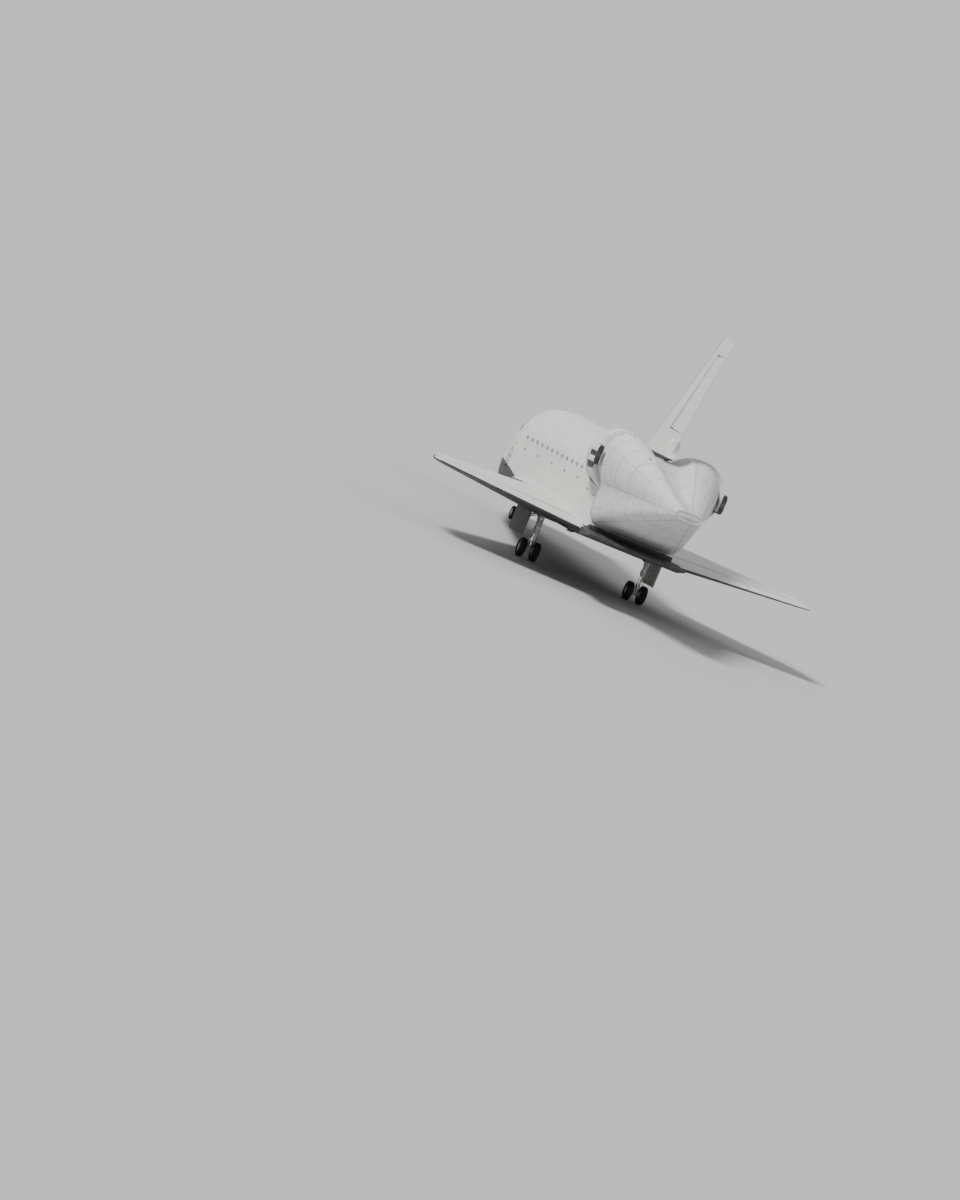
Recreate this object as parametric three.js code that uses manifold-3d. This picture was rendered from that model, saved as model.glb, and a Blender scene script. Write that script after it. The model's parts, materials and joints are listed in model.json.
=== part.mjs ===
// A winged space shuttle orbiter in its ferry fit: parked on its landing gear, with the long tail cone
// over its main engines. It is a scale model at one half of full size.
//
// Places on the vehicle are given as it is drawn, in inches at full size: the station counts aft from a
// datum ahead of the nose, the buttline counts to the left, and the waterline counts up. A point in the
// model is (-station, buttline, waterline), so +X is forward. The outer group brings that to model
// millimetres, pitches it nose down on its gear and sets the tyres on the ground, z = 0.

import * as THREE from "three";
import { mergeVertices } from "three/addons/utils/BufferGeometryUtils.js";
import Module from "manifold-3d";

const wasm = await Module();
wasm.setup();

// Driving dimensions, in inches at full size unless a comment says otherwise.
const MM_PER_INCH = 25.4;
const MODEL_SCALE = 1 / 2;
const UNIT = MM_PER_INCH * MODEL_SCALE; // model millimetres for one inch of the vehicle
const GAP = 0.3 / UNIT; // 0.3 model millimetres between pieces that touch
// The radius of a polygonal bore that clears a polygonal pin of this radius at every angle.
const boreFor = (pin, sides) => (pin + GAP) / Math.cos(Math.PI / sides);
const CLEAR = 1; // running clearance round a moving surface's nose

const CAP_END = 264;
const CABIN = { front: 430, back: 570, floor: 316, skin: 5 };
const BAY = { front: 582, back: 1307 - GAP, radius: 92, centre: 400, sill: 411 };
const BODY = { half: 105, top: 502 };
const AFT = { front: 1307, back: 1511, pocket: 1440 };
const CONE = { front: 1511 + GAP, back: 1943, skin: 4 };
const GROUND_PITCH = THREE.MathUtils.degToRad(3.5);

const WING = {
  root: 105 + GAP, tip: 468.34, hinge: 1387, crank: 190,
  sweptEdge: 836, // station where the 45 degree edge would meet the centreline
  gloveSlope: Math.tan(THREE.MathUtils.degToRad(81)),
  rearEdge: 1525.2, rearSlope: Math.tan(THREE.MathUtils.degToRad(10.056)),
  datum: 279.4, dihedral: Math.tan(THREE.MathUtils.degToRad(3.5)),
  above: 0.66, // share of the thickness that lies above the chord plane
  round: 430, // the tip is rounded from this buttline out
  tipBack: 48, // how far its front corner is rounded back
};
const ELEVON = { inner: 119, split: 312.5, gap: 1.5, edge: 0.75 };

const FIN = {
  root: 500, tip: 815.72, frontRoot: 1277.9, rootChord: 268.5, tipChord: 108.47,
  thickness: 0.105, widest: 0.603,
};
const RUDDER = { bottom: 575, top: 775.7, shaft: 2.5, room: 1.25, topGap: 2, bottomGap: 2.2, noseGap: 5 };
const FLAP = { hinge: 1532, height: 284, radius: 9, half: 121, rear: 1613, edge: 1 };

const MAIN_GEAR = { station: 1172, out: 136, axle: 187, radius: 22.25, width: 16, rim: 10.5, spacing: 34 };
const NOSE_GEAR = { station: 362, radius: 16, width: 8.8, rim: 8, spacing: 22 };
const WHEEL_SIDES = 24;

const SIDES = [
  { name: "left", s: 1 },
  { name: "right", s: -1 },
];

const COLOURS = {
  whiteBlanket: { color: 0xdcdcd8, roughness: 0.85, metalness: 0 },
  blackTile: { color: 0x1c1c1e, roughness: 0.7, metalness: 0 },
  carbon: { color: 0x55565a, roughness: 0.5, metalness: 0 },
  coneWhite: { color: 0xc9cbcc, roughness: 0.5, metalness: 0.2 },
  bareMetal: { color: 0x9a9c9e, roughness: 0.4, metalness: 0.8 },
  gearWhite: { color: 0xd4d6d6, roughness: 0.45, metalness: 0.2 },
  tyre: { color: 0x18181a, roughness: 0.9, metalness: 0 },
  radiator: { color: 0xb9c0c6, roughness: 0.25, metalness: 0.8 },
  glass: { color: 0x10161c, roughness: 0.08, metalness: 0 },
  cabin: { color: 0x777b78, roughness: 0.8, metalness: 0 },
};

const { degToRad, lerp, clamp } = THREE.MathUtils;

// Turns plain vertices and triangles into a solid whose faces point out.
function solidFrom(positions, triangles) {
  let volume = 0;
  const [a, b, c] = [new THREE.Vector3(), new THREE.Vector3(), new THREE.Vector3()];
  for (let i = 0; i < triangles.length; i += 3) {
    a.fromArray(positions, triangles[i] * 3);
    b.fromArray(positions, triangles[i + 1] * 3);
    c.fromArray(positions, triangles[i + 2] * 3);
    volume += a.dot(b.cross(c));
  }
  const triVerts = Uint32Array.from(triangles);
  if (volume < 0) triVerts.reverse();
  return new wasm.Manifold(
    new wasm.Mesh({ numProp: 3, vertProperties: Float32Array.from(positions), triVerts }),
  );
}

// A solid from any closed three.js geometry, after an optional matrix.
function solidOf(geometry, matrix) {
  const bare = geometry.clone();
  bare.deleteAttribute("normal");
  bare.deleteAttribute("uv");
  if (matrix) bare.applyMatrix4(matrix);
  const merged = mergeVertices(bare, 1e-4);
  return solidFrom([...merged.attributes.position.array], [...merged.index.array]);
}

function geometryOf(solid) {
  const mesh = solid.getMesh();
  const points = new Float32Array(mesh.numVert * 3);
  for (let i = 0; i < mesh.numVert; i++)
    points.set(mesh.vertProperties.subarray(i * mesh.numProp, i * mesh.numProp + 3), i * 3);
  return new THREE.BufferGeometry()
    .setAttribute("position", new THREE.BufferAttribute(points, 3))
    .setIndex(new THREE.BufferAttribute(new Uint32Array(mesh.triVerts), 1));
}

// The triangles that close one ring, wound the way the ring runs, or none where points lie in a line.
function capTriangles(ring) {
  const normal = new THREE.Vector3();
  ring.forEach((p, i) => normal.add(p.clone().cross(ring[(i + 1) % ring.length])));
  const size = [Math.abs(normal.x), Math.abs(normal.y), Math.abs(normal.z)];
  const drop = size.indexOf(Math.max(...size));
  const [u, v] = [["y", "z"], ["z", "x"], ["x", "y"]][drop];
  const flat = ring.map((p) => new THREE.Vector2(p[u], p[v]));
  const turns = THREE.ShapeUtils.area(flat) > 0;
  const found = THREE.ShapeUtils.triangulateShape(flat, []);
  if (found.length !== ring.length - 2) return [];
  return found.map((t) => {
    const corner = t.map((i) => flat[i]);
    return THREE.ShapeUtils.area(corner) > 0 === turns ? t : [t[0], t[2], t[1]];
  });
}

// A closed solid through rings that all have the same number of points.
function loft(rings) {
  const n = rings[0].length;
  const points = rings.flat();
  const triangles = [];
  for (let i = 0; i + 1 < rings.length; i++)
    for (let j = 0; j < n; j++) {
      const [a, b] = [i * n + j, i * n + ((j + 1) % n)];
      triangles.push(a, b, b + n, a, b + n, a + n);
    }
  const close = (ring, first, flip) => {
    let caps = capTriangles(ring).map((t) => t.map((i) => i + first));
    if (!caps.length) {
      const centre = ring.reduce((sum, p) => sum.add(p), new THREE.Vector3()).divideScalar(n);
      caps = ring.map((_, j) => [first + j, first + ((j + 1) % n), points.length]);
      points.push(centre);
    }
    for (const [p, q, r] of caps) triangles.push(...(flip ? [r, q, p] : [p, q, r]));
  };
  close(rings[0], 0, true);
  close(rings.at(-1), (rings.length - 1) * n, false);
  return solidFrom(points.flatMap((p) => [p.x, p.y, p.z]), triangles);
}

const at = (station, left, height) => new THREE.Vector3(-station, left, height);
const union = (...solids) => solids.reduce((a, b) => a.add(b));
const largest = (solid) => solid.decompose().sort((a, b) => b.volume() - a.volume())[0];
const cut = (solid, ...cutters) => cutters.reduce((a, b) => a.subtract(b), solid);

// A box between two corners, each a [station, left, height].
function box(low, high) {
  const [p, q] = [at(...low), at(...high)];
  const size = q.clone().sub(p);
  const middle = p.clone().add(q).divideScalar(2);
  return solidOf(
    new THREE.BoxGeometry(Math.abs(size.x), Math.abs(size.y), Math.abs(size.z)),
    new THREE.Matrix4().setPosition(middle),
  );
}

// A round bar between two points, with a radius at each.
function bar(from, to, radius, radiusTo = radius, sides = 20) {
  const way = to.clone().sub(from);
  const turn = new THREE.Quaternion().setFromUnitVectors(new THREE.Vector3(0, 1, 0), way.clone().normalize());
  const middle = from.clone().add(to).divideScalar(2);
  return solidOf(
    new THREE.CylinderGeometry(radiusTo, radius, way.length(), sides),
    new THREE.Matrix4().compose(middle, turn, new THREE.Vector3(1, 1, 1)),
  );
}

// Interpolates a table of rows, each an array whose first column is the station.
function rowAt(table, station) {
  const found = table.findIndex((r) => r[0] >= station);
  const k = found < 0 ? table.length - 1 : Math.max(found, 1);
  const [a, b] = [table[k - 1], table[k]];
  const t = clamp((station - a[0]) / (b[0] - a[0]), 0, 1);
  return a.map((v, i) => lerp(v, b[i], t));
}

// Cross-sections of the hull: station, half width, bottom, top of the lower curve, foot of the upper
// curve, top, and the squareness of the lower and the upper curve (2 is round, more is squarer).
const HULL = [
  [239, 8, 331, 338.7, 339.3, 347, 2, 2],
  [243, 20, 320, 338.7, 339.3, 359, 2, 2],
  [251, 33, 309, 339.5, 340.5, 371, 2, 2],
  [264, 45, 300, 340.5, 341.5, 384, 2.1, 2],
  [285, 58, 293, 342, 344, 397, 2.3, 2],
  [320, 71, 287.5, 340, 350, 411, 2.6, 2],
  [360, 83, 284, 336, 357, 424, 3, 2],
  [400, 91.5, 281.5, 330, 364, 437, 3.4, 2.05],
  [428, 95.5, 280, 326, 370, 446, 3.8, 2.15],
  [445, 97.5, 279, 322, 374, 461, 4.2, 2.25],
  [463, 100, 278.5, 318, 380, 478, 4.8, 2.25],
  [482, 102, 278, 314, 387, 491, 5.4, 2.2],
  [505, 104, 277, 310, 394, 499, 6.2, 2.1],
  [540, 105, 276, 306, 400, 503, 7.5, 2],
  [582, 105, 275, 300, 400, 502, 9, 2],
  [1040, 105, 268, 290, 400, 502, 12, 2],
  [1307, 105, 267, 288, 400, 502, 12, 2],
  [1511, 105, 274, 292, 402, 500, 12, 2.4],
];
const QUARTER = 8; // segments in each quarter of a hull section

// One quarter of a superellipse, from its side (0) to its top or bottom (1).
function quarter(halfWidth, rise, squareness) {
  return Array.from({ length: QUARTER + 1 }, (_, i) => {
    const angle = ((i / QUARTER) * Math.PI) / 2;
    const power = 2 / squareness;
    return [halfWidth * Math.cos(angle) ** power, rise * Math.sin(angle) ** power];
  });
}

// The closed section of the hull at a station, grown outward by an amount.
function hullRing(station, grow = 0) {
  const [, half, bottom, lower, upper, top, lowerSquare, upperSquare] = rowAt(HULL, station);
  const up = quarter(half + grow, top + grow - upper, upperSquare).map(([y, z]) => [y, upper + z]);
  const down = quarter(half + grow, lower - bottom + grow, lowerSquare).map(([y, z]) => [y, lower - z]);
  const rightUp = up.slice(0, -1).reverse().map(([y, z]) => [-y, z]);
  const rightDown = down.slice(0, -1).map(([y, z]) => [-y, z]);
  return [...up, ...rightUp, ...rightDown, ...down.reverse()].map(([y, z]) => at(station, y, z));
}

const hullStations = (from, to) => [from, ...HULL.map((r) => r[0]).filter((s) => s > from && s < to), to];
const hullBetween = (from, to, grow = 0) => loft(hullStations(from, to).map((s) => hullRing(s, grow)));

// The point of the hull's upper curve above a buttline, and its outward normal.
function hullTopAt(station, left) {
  const height = (s, y) => {
    const [, half, , , upper, top, , square] = rowAt(HULL, s);
    return upper + (top - upper) * (1 - clamp(Math.abs(y) / half, 0, 1) ** square) ** (1 / square);
  };
  const step = 2;
  const point = at(station, left, height(station, left));
  const along = at(station + step, left, height(station + step, left)).sub(point);
  const across = at(station, left + step, height(station, left + step)).sub(point);
  return { point, normal: across.cross(along).normalize() };
}

// A four-sided tool that stands through the skin at a point, for a window.
function windowTool(station, left, width, height, depth) {
  const { point, normal } = hullTopAt(station, left);
  if (normal.z < 0) normal.negate();
  const across = new THREE.Vector3(0, 0, 1).cross(normal).normalize();
  if (across.lengthSq() < 0.5) across.set(0, 1, 0);
  const up = normal.clone().cross(across);
  const shape = new THREE.Shape();
  const [w, h, round] = [width / 2, height / 2, Math.min(width, height) / 6];
  shape.moveTo(-w + round, -h).lineTo(w - round, -h).quadraticCurveTo(w, -h, w, -h + round);
  shape.lineTo(w, h - round).quadraticCurveTo(w, h, w - round, h).lineTo(-w + round, h);
  shape.quadraticCurveTo(-w, h, -w, h - round).lineTo(-w, -h + round).quadraticCurveTo(-w, -h, -w + round, -h);
  const tool = new THREE.ExtrudeGeometry(shape, { depth: depth * 2, bevelEnabled: false, curveSegments: 2 });
  tool.translate(0, 0, -depth);
  return solidOf(tool, new THREE.Matrix4().makeBasis(across, up, normal).setPosition(point));
}

// Windows in the cabin roof and front: station, buttline, width, height.
const WINDOWS = [
  [452, 15, 23, 30],
  [455, 45, 25, 29],
  [468, 75, 24, 28],
  [521, 19, 20, 22],
];
const HATCH = { station: 506, height: 352, radius: 20, window: 5, reveal: 0.4 };
const HATCH_HINGE = { left: 105.5, height: 331.6, radius: 1.3, half: 3, reach: 5 };

// The space of the crew cabin, grown inward from the skin by an amount.
function cabinSpace(inset) {
  const stations = hullStations(CABIN.front + inset - CABIN.skin, CABIN.back);
  const rings = stations.map((s) =>
    hullRing(s, -inset).map((p) => {
      p.z = Math.max(p.z, CABIN.floor);
      return p;
    }),
  );
  return loft(rings);
}

const noseWell = () => box([294, -22, 240], [376, 22, 338]);
const hatchTool = (radius, inner = 90) =>
  bar(at(HATCH.station, inner, HATCH.height), at(HATCH.station, 112, HATCH.height), radius, radius, 28);

// A knuckle on the hatch's hinge line, between two stations, with a tab that joins it to its own side.
function hatchKnuckle(from, to, low, high) {
  const { left, height, radius } = HATCH_HINGE;
  const barrel = bar(at(from, left, height), at(to, left, height), radius, radius, 14);
  return union(barrel, box([from, left - 3, height + low], [to, left + 0.8, height + high]));
}

function forwardFuselage() {
  const shell = cut(hullBetween(CAP_END + GAP, BAY.front), cabinSpace(CABIN.skin), noseWell());
  const windows = WINDOWS.flatMap(([s, y, w, h]) =>
    [y, -y].map((left) => windowTool(s, left, w, h, CABIN.skin * 2)),
  );
  const knuckles = [-1, 1].map((side) => {
    const [near, far] = [HATCH_HINGE.half + GAP, HATCH_HINGE.half + HATCH_HINGE.reach];
    return hatchKnuckle(HATCH.station + side * near, HATCH.station + side * far, -2.4, 0);
  });
  return union(cut(shell, hatchTool(HATCH.radius), ...windows), ...knuckles);
}

// One curved pane behind all the windows, lying against the inside of the skin.
function cabinGlazing() {
  const sheet = cut(cabinSpace(CABIN.skin + GAP), cabinSpace(CABIN.skin + 1.5));
  const front = box([CABIN.front - 4, -88, 418], [497, 88, 500]);
  const roof = box([490, -32, 470], [536, 32, 505]);
  return sheet.intersect(union(front, roof));
}

function crewHatch() {
  const disc = hullBetween(HATCH.station - 30, HATCH.station + 30).intersect(hatchTool(HATCH.radius - HATCH.reveal, 100.6));
  const knuckle = hatchKnuckle(HATCH.station - HATCH_HINGE.half, HATCH.station + HATCH_HINGE.half, 0.8, 3.4);
  const window = bar(at(HATCH.station, 90, HATCH.height), at(HATCH.station, 112, HATCH.height), HATCH.window);
  return union(cut(disc, window), knuckle);
}

// The flight deck: its floor on the cabin walls, with the instrument panel in front.
function flightDeck() {
  const floor = box([452, -101, 398], [CABIN.back - GAP, 101, 402]);
  const panel = box([447, -48, 398], [458, 48, 432]);
  const console = box([458, -7, 402], [492, 7, 416]);
  return union(floor, panel, console).intersect(cabinSpace(CABIN.skin + 1.6));
}

function crewSeat(left) {
  const cushion = box([480, left - 9, 402 + GAP], [500, left + 9, 418]);
  const back = box([496, left - 9, 410], [502, left + 9, 444]);
  const head = box([497, left - 5, 443], [501, left + 5, 454]);
  return union(cushion, back, head);
}

// The open trough of the cargo bay: the hull below the sill, less the round bay.
function midFuselage() {
  const hull = hullBetween(BAY.front + GAP, BAY.back);
  const above = box([BAY.front - 5, -130, BAY.sill], [BAY.back + 5, 130, 520]);
  const bay = bar(at(BAY.front - 5, 0, BAY.centre), at(BAY.back + 5, 0, BAY.centre), BAY.radius, BAY.radius, 48);
  return cut(hull, above, bay);
}

const DOOR = { skin: 5, from: 4, step: 86 / 12, hinge: { left: 106.5, height: 411.5 }, top: 0.3, back: 1306 };
const RADIATOR = { first: 3, last: 11, skin: 2, back: 1190 }; // its edges lie on these steps of the door

// A curved panel under the hull's upper curve, between two steps of the door's arc.
function archPanel(s, first, last, outer, inner, front, back) {
  const arc = (inset) =>
    Array.from({ length: last - first + 1 }, (_, i) => {
      const angle = degToRad(DOOR.from + (first + i) * DOOR.step);
      return [s * (BODY.half - inset) * Math.cos(angle), BAY.centre + (BODY.top - BAY.centre - inset) * Math.sin(angle)];
    });
  const section = [...arc(outer), ...arc(inner).reverse()];
  return loft([front, back].map((station) => section.map(([y, z]) => at(station, y, z))));
}

function payloadDoor(s) {
  const whole = archPanel(s, 0, 12, 0, DOOR.skin, BAY.front + 1, DOOR.back);
  const below = box([BAY.front - 5, -130, 380], [BAY.back + 5, 130, BAY.sill + GAP]);
  const across = box([BAY.front - 5, -DOOR.top * s, 380], [BAY.back + 5, 30 * -s, 520]);
  return cut(whole, below, across);
}

const radiator = (s) =>
  archPanel(s, RADIATOR.first, RADIATOR.last, DOOR.skin + GAP, DOOR.skin + RADIATOR.skin, BAY.front + 12, RADIATOR.back);

// The aft body holds the engines in a pocket that is open towards the tail cone.
function aftFuselage() {
  const hull = hullBetween(AFT.front, AFT.back);
  const ledge = box([AFT.back - 4, -FLAP.half, 275], [FLAP.hinge - 1, FLAP.half, 293]);
  const pocketRings = [AFT.pocket, AFT.back + 5].map((s) => hullRing(s, -9));
  const flapNose = bar(at(FLAP.hinge, -FLAP.half - 5, FLAP.height), at(FLAP.hinge, FLAP.half + 5, FLAP.height),
    FLAP.radius + CLEAR, FLAP.radius + CLEAR, 32);
  const lugs = FLAP_LUGS.map((y) => hingeLug(flapAxis(y)));
  return union(cut(hull.add(ledge), loft(pocketRings), flapNose), ...lugs);
}

// A hinge's frame at one lug: X towards the fixed structure, Z along the hinge, scaled by its nose radius.
function hingeFrame(point, along, towards) {
  const z = along.clone().normalize();
  const y = z.clone().cross(towards).normalize();
  const x = y.clone().cross(z);
  return new THREE.Matrix4().makeBasis(x, y, z).setPosition(point);
}

const LUG = { thick: 3, side: 0.5, eye: 3.6, pin: 1.5, reach: 5, sides: 12 };

// The fixed half of a hinge: a plate with an eye, which stands out of the fixed structure.
function hingeLug({ frame, radius }) {
  const length = radius + LUG.reach;
  const plate = new THREE.BoxGeometry(length, LUG.eye * 1.5, LUG.thick).translate(length / 2, 0, 0);
  const eye = new THREE.CylinderGeometry(LUG.eye, LUG.eye, LUG.thick, LUG.sides).rotateX(Math.PI / 2);
  const hole = boreFor(LUG.pin, LUG.sides);
  const bore = new THREE.CylinderGeometry(hole, hole, LUG.thick * 2, LUG.sides).rotateX(Math.PI / 2);
  return cut(union(solidOf(plate, frame), solidOf(eye, frame)), solidOf(bore, frame));
}

// The slot that a moving surface has for a lug, and the pin that crosses it.
function hingeSlot({ frame, radius }) {
  const width = LUG.thick + LUG.side * 2;
  const round = new THREE.CylinderGeometry(LUG.eye + LUG.side, LUG.eye + LUG.side, width, LUG.sides).rotateX(Math.PI / 2);
  const mouth = new THREE.BoxGeometry(radius + 4, radius * 2 + 4, width).translate(radius / 2 + 2, 0, 0);
  return union(solidOf(round, frame), solidOf(mouth, frame));
}

function hingePin({ frame }) {
  const pin = new THREE.CylinderGeometry(LUG.pin, LUG.pin, LUG.thick + LUG.side * 2 + 1, LUG.sides).rotateX(Math.PI / 2);
  return solidOf(pin, frame);
}

const FLAP_LUGS = [-90, 0, 90];
const flapAxis = (y) => ({
  frame: hingeFrame(at(FLAP.hinge, y, FLAP.height), new THREE.Vector3(0, 1, 0), new THREE.Vector3(1, 0, 0)),
  radius: FLAP.radius,
});

// A control surface's section: a round nose about the hinge, then straight to its rear edge.
function surfaceRing(left, hinge, height, radius, rear, rearHeight, edge) {
  const nose = Array.from({ length: 13 }, (_, i) => {
    const angle = Math.PI / 2 + (Math.PI * i) / 12;
    return at(hinge + radius * Math.cos(angle), left, height + radius * Math.sin(angle));
  });
  return [...nose, at(rear, left, rearHeight - edge), at(rear, left, rearHeight + edge)];
}

function bodyFlap() {
  const rings = [-FLAP.half, FLAP.half].map((y) =>
    surfaceRing(y, FLAP.hinge, FLAP.height, FLAP.radius, FLAP.rear, FLAP.height + 1, FLAP.edge));
  const axes = FLAP_LUGS.map(flapAxis);
  return union(cut(loft(rings), ...axes.map(hingeSlot)), ...axes.map(hingePin));
}

// How far a buttline lies into the rounded wing tip, from 0 to 1.
const tipShare = (y) => clamp((y - WING.round) / (WING.tip - WING.round), 0, 1);

// Wing outline and thickness at a buttline.
function wingFront(y) {
  const swept = WING.sweptEdge + y;
  const crank = WING.sweptEdge + WING.crank;
  const glove = crank - (WING.crank - y) * WING.gloveSlope;
  const blend = 26; // length over which the two edges are rounded into each other
  return Math.min(glove, swept) - blend * Math.exp(-Math.abs(y - WING.crank) / 14) + WING.tipBack * tipShare(y) ** 2;
}
const wingRear = (y) => WING.rearEdge - y * WING.rearSlope;
const wingPlane = (y) => WING.datum + y * WING.dihedral;
const wingChord = (y) => 689.24 - (551.39 / 468.34) * y; // of the plain wing, without its glove
const hingeDepth = (y) => lerp(25, 9.5, (y - WING.root) / (WING.tip - WING.root));
const hingeHeight = (y) => wingPlane(y) + (WING.above - 0.5) * hingeDepth(y);

// Points of the section from the rear spar over the top to the front edge and back below, grown outward.
const WING_STEPS = [1, 0.9, 0.75, 0.6, 0.45, 0.3, 0.18, 0.09, 0.035, 0.01];
function wingRing(y, grow = 0, from = 0, extra = 0) {
  const front = wingFront(y);
  const glove = clamp((WING.crank - y) / (WING.crank - WING.root), 0, 1);
  const p = lerp(0.5, 0.72, glove);
  const peak = p / (1 + p);
  const norm = peak ** p * (1 - peak);
  const deep = (0.105 * wingChord(y) - 0.45 * hingeDepth(y)) * Math.sqrt(1 - 0.8 * tipShare(y) ** 2);
  const depth = (s) => hingeDepth(y) * Math.sqrt(s) + (deep * s ** p * (1 - s)) / norm;
  const station = (s) => lerp(front, WING.hinge, s);
  const steps = WING_STEPS.filter((s) => s > from);
  const upper = steps.map((s) => at(station(s), y, wingPlane(y) + WING.above * depth(s) + grow));
  const lower = steps.map((s) => at(station(s), y, wingPlane(y) - (1 - WING.above) * depth(s) - grow));
  const nose = at(front - extra - grow, y, wingPlane(y));
  return [...upper, nose, ...lower.reverse()];
}

const WING_SPANS = [105 + GAP, 120, 140, 158, 172, 183, 194, 208, 230, 270, 330, 400, 430, 443, 453, 461, 468.34];
const CARBON = { inner: 150, share: 14 }; // the carbon edge starts here, and reaches this far back

function wingSolid(s, from = WING_SPANS[0], grow = 0) {
  const spans = [from, ...WING_SPANS.filter((y) => y > from)];
  return loft(spans.map((y) => wingRing(y, grow).map((p) => p.setY(p.y * s))));
}

// The tool that parts the carbon edge from the wing: all that lies ahead of a line behind the front edge.
function edgeTool(s, back, inner) {
  const spans = [inner, ...WING_SPANS.filter((y) => y > inner), 480];
  const bottom = spans.map((y) => at(wingFront(Math.min(y, WING.tip)) + Math.max(0, y - WING.tip) + back, y * s, 200));
  const ahead = [...spans].reverse().map((y) => at(wingFront(Math.min(y, WING.tip)) - 80, y * s, 200));
  const outline = [...bottom, ...ahead];
  return loft([outline, outline.map((p) => p.clone().setZ(400))]);
}

const elevonHinge = (y, s) => ({
  frame: hingeFrame(
    at(WING.hinge, y * s, hingeHeight(y)),
    new THREE.Vector3(0, s * (WING.tip - ELEVON.inner), hingeHeight(WING.tip) - hingeHeight(ELEVON.inner)),
    new THREE.Vector3(1, 0, 0),
  ),
  radius: hingeDepth(y) / 2,
});
const ELEVON_SPANS = {
  inner: { from: ELEVON.inner, to: ELEVON.split - ELEVON.gap, lugs: [160, 270] },
  outer: { from: ELEVON.split + ELEVON.gap, to: WING.tip - 0.8, lugs: [345, 430] },
};
const elevonLugs = Object.values(ELEVON_SPANS).flatMap((span) => span.lugs);

const STUB = ELEVON.inner; // the fixed root of the wing runs on to the rear edge inboard of this
const HINGE_SLOPE = (hingeHeight(WING.tip) - hingeHeight(ELEVON.inner)) / (WING.tip - ELEVON.inner);
const surfaceRow = (y, s) =>
  surfaceRing(y * s, WING.hinge, hingeHeight(y), hingeDepth(y) / 2, wingRear(y), wingPlane(y), ELEVON.edge)
    .map((p) => p.setY(p.y - s * (p.z - hingeHeight(y)) * HINGE_SLOPE)); // square to the hinge line

const MAIN_WELL = { front: 1034, back: 1194, inner: 107, outer: 167, roof: 314 };
const mainWell = (s) =>
  box([MAIN_WELL.front, s * MAIN_WELL.inner, 230], [MAIN_WELL.back, s * MAIN_WELL.outer, MAIN_WELL.roof]);

function wing(s) {
  const cove = bar(
    at(WING.hinge, s * (STUB - CLEAR), hingeHeight(STUB)), at(WING.hinge, s * 480, hingeHeight(480)),
    hingeDepth(STUB) / 2 + CLEAR, hingeDepth(480) / 2 + CLEAR, 32,
  );
  const lugs = elevonLugs.map((y) => hingeLug(elevonHinge(y, s)));
  const stub = loft([surfaceRow(WING.root, s).map((p) => p.setY(WING.root * s)), surfaceRow(STUB - CLEAR, s)]);
  const body = cut(union(wingSolid(s), stub), edgeTool(s, CARBON.share, CARBON.inner), mainWell(s), cove);
  return union(body, ...lugs);
}

const wingEdge = (s) =>
  wingSolid(s, CARBON.inner + GAP).intersect(edgeTool(s, CARBON.share - GAP, CARBON.inner + GAP));

function elevon(s, { from, to, lugs }) {
  const rings = [from, to].map((y) => surfaceRow(y, s));
  const axes = lugs.map((y) => elevonHinge(y, s));
  return union(cut(loft(rings), ...axes.map(hingeSlot)), ...axes.map(hingePin));
}

// The fin: a wedge section, thickest on the rudder's hinge line.
const finFront = (z) => FIN.frontRoot + (z - FIN.root);
const finChord = (z) => lerp(FIN.rootChord, FIN.tipChord, (z - FIN.root) / (FIN.tip - FIN.root));
const finHinge = (z) => finFront(z) + FIN.widest * finChord(z);
const finHalf = (z) => (FIN.thickness * finChord(z)) / 2;

function finRing(z, grow = 0) {
  const [front, chord, half] = [finFront(z), finChord(z), finHalf(z) + grow];
  const side = [
    [0.012, 0.1], [0.05, 0.2], [0.3, 0.6], [FIN.widest, 1], [0.998, 0.06],
  ].map(([x, y]) => [front + x * chord, y * half]);
  const left = side.map(([x, y]) => at(x, y, z));
  const right = side.map(([x, y]) => at(x, -y, z)).reverse();
  return [at(front, 0, z), ...left, ...right];
}
const finSolid = (from, to) => loft([finRing(from), finRing(to)]);

// A round tool along the rudder's hinge line: the fin's half width there, times a factor, grown by an amount.
function rudderAxis(from, to, factor, grow) {
  const [low, high] = [finHalf(from) * factor + grow, finHalf(to) * factor + grow];
  return bar(at(finHinge(from), 0, from), at(finHinge(to), 0, to), low, high, 32);
}
const rudderShaftBar = (from, to, radius) =>
  bar(at(finHinge(from), 0, from), at(finHinge(to), 0, to), radius, radius, 20);

// All that lies behind the rudder's hinge line, shifted aft by an amount, between two waterlines.
function behindHinge(from, to, shift = 0) {
  const outline = [at(finHinge(from) + shift, -60, from), at(finHinge(to) + shift, -60, to),
    at(1760, -60, to), at(1760, -60, from)];
  return loft([outline, outline.map((p) => p.clone().setY(60))]);
}

const CHUTE = { front: 1494, back: 1550, bottom: 507, top: 557, half: 14.5 };
const SADDLE = 505; // the fin and the chute housing end at this waterline over the tail cone
const chuteBox = (grow = 0) => {
  const ring = (station, size) =>
    Array.from({ length: 24 }, (_, i) => {
      const angle = ((i + 0.5) / 24) * Math.PI * 2;
      const [c, q] = [Math.cos(angle), Math.sin(angle)];
      const [w, h] = [(CHUTE.half + grow) * size, ((CHUTE.top - CHUTE.bottom) / 2 + grow) * size];
      return at(station, w * Math.sign(c) * Math.abs(c) ** 0.6, (CHUTE.top + CHUTE.bottom) / 2 + h * Math.sign(q) * Math.abs(q) ** 0.6);
    });
  return loft([ring(CHUTE.front - grow, 0.45), ring(CHUTE.front + 24, 0.93), ring(CHUTE.back - 8, 1), ring(CHUTE.back + grow, 0.86)]);
};

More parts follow.
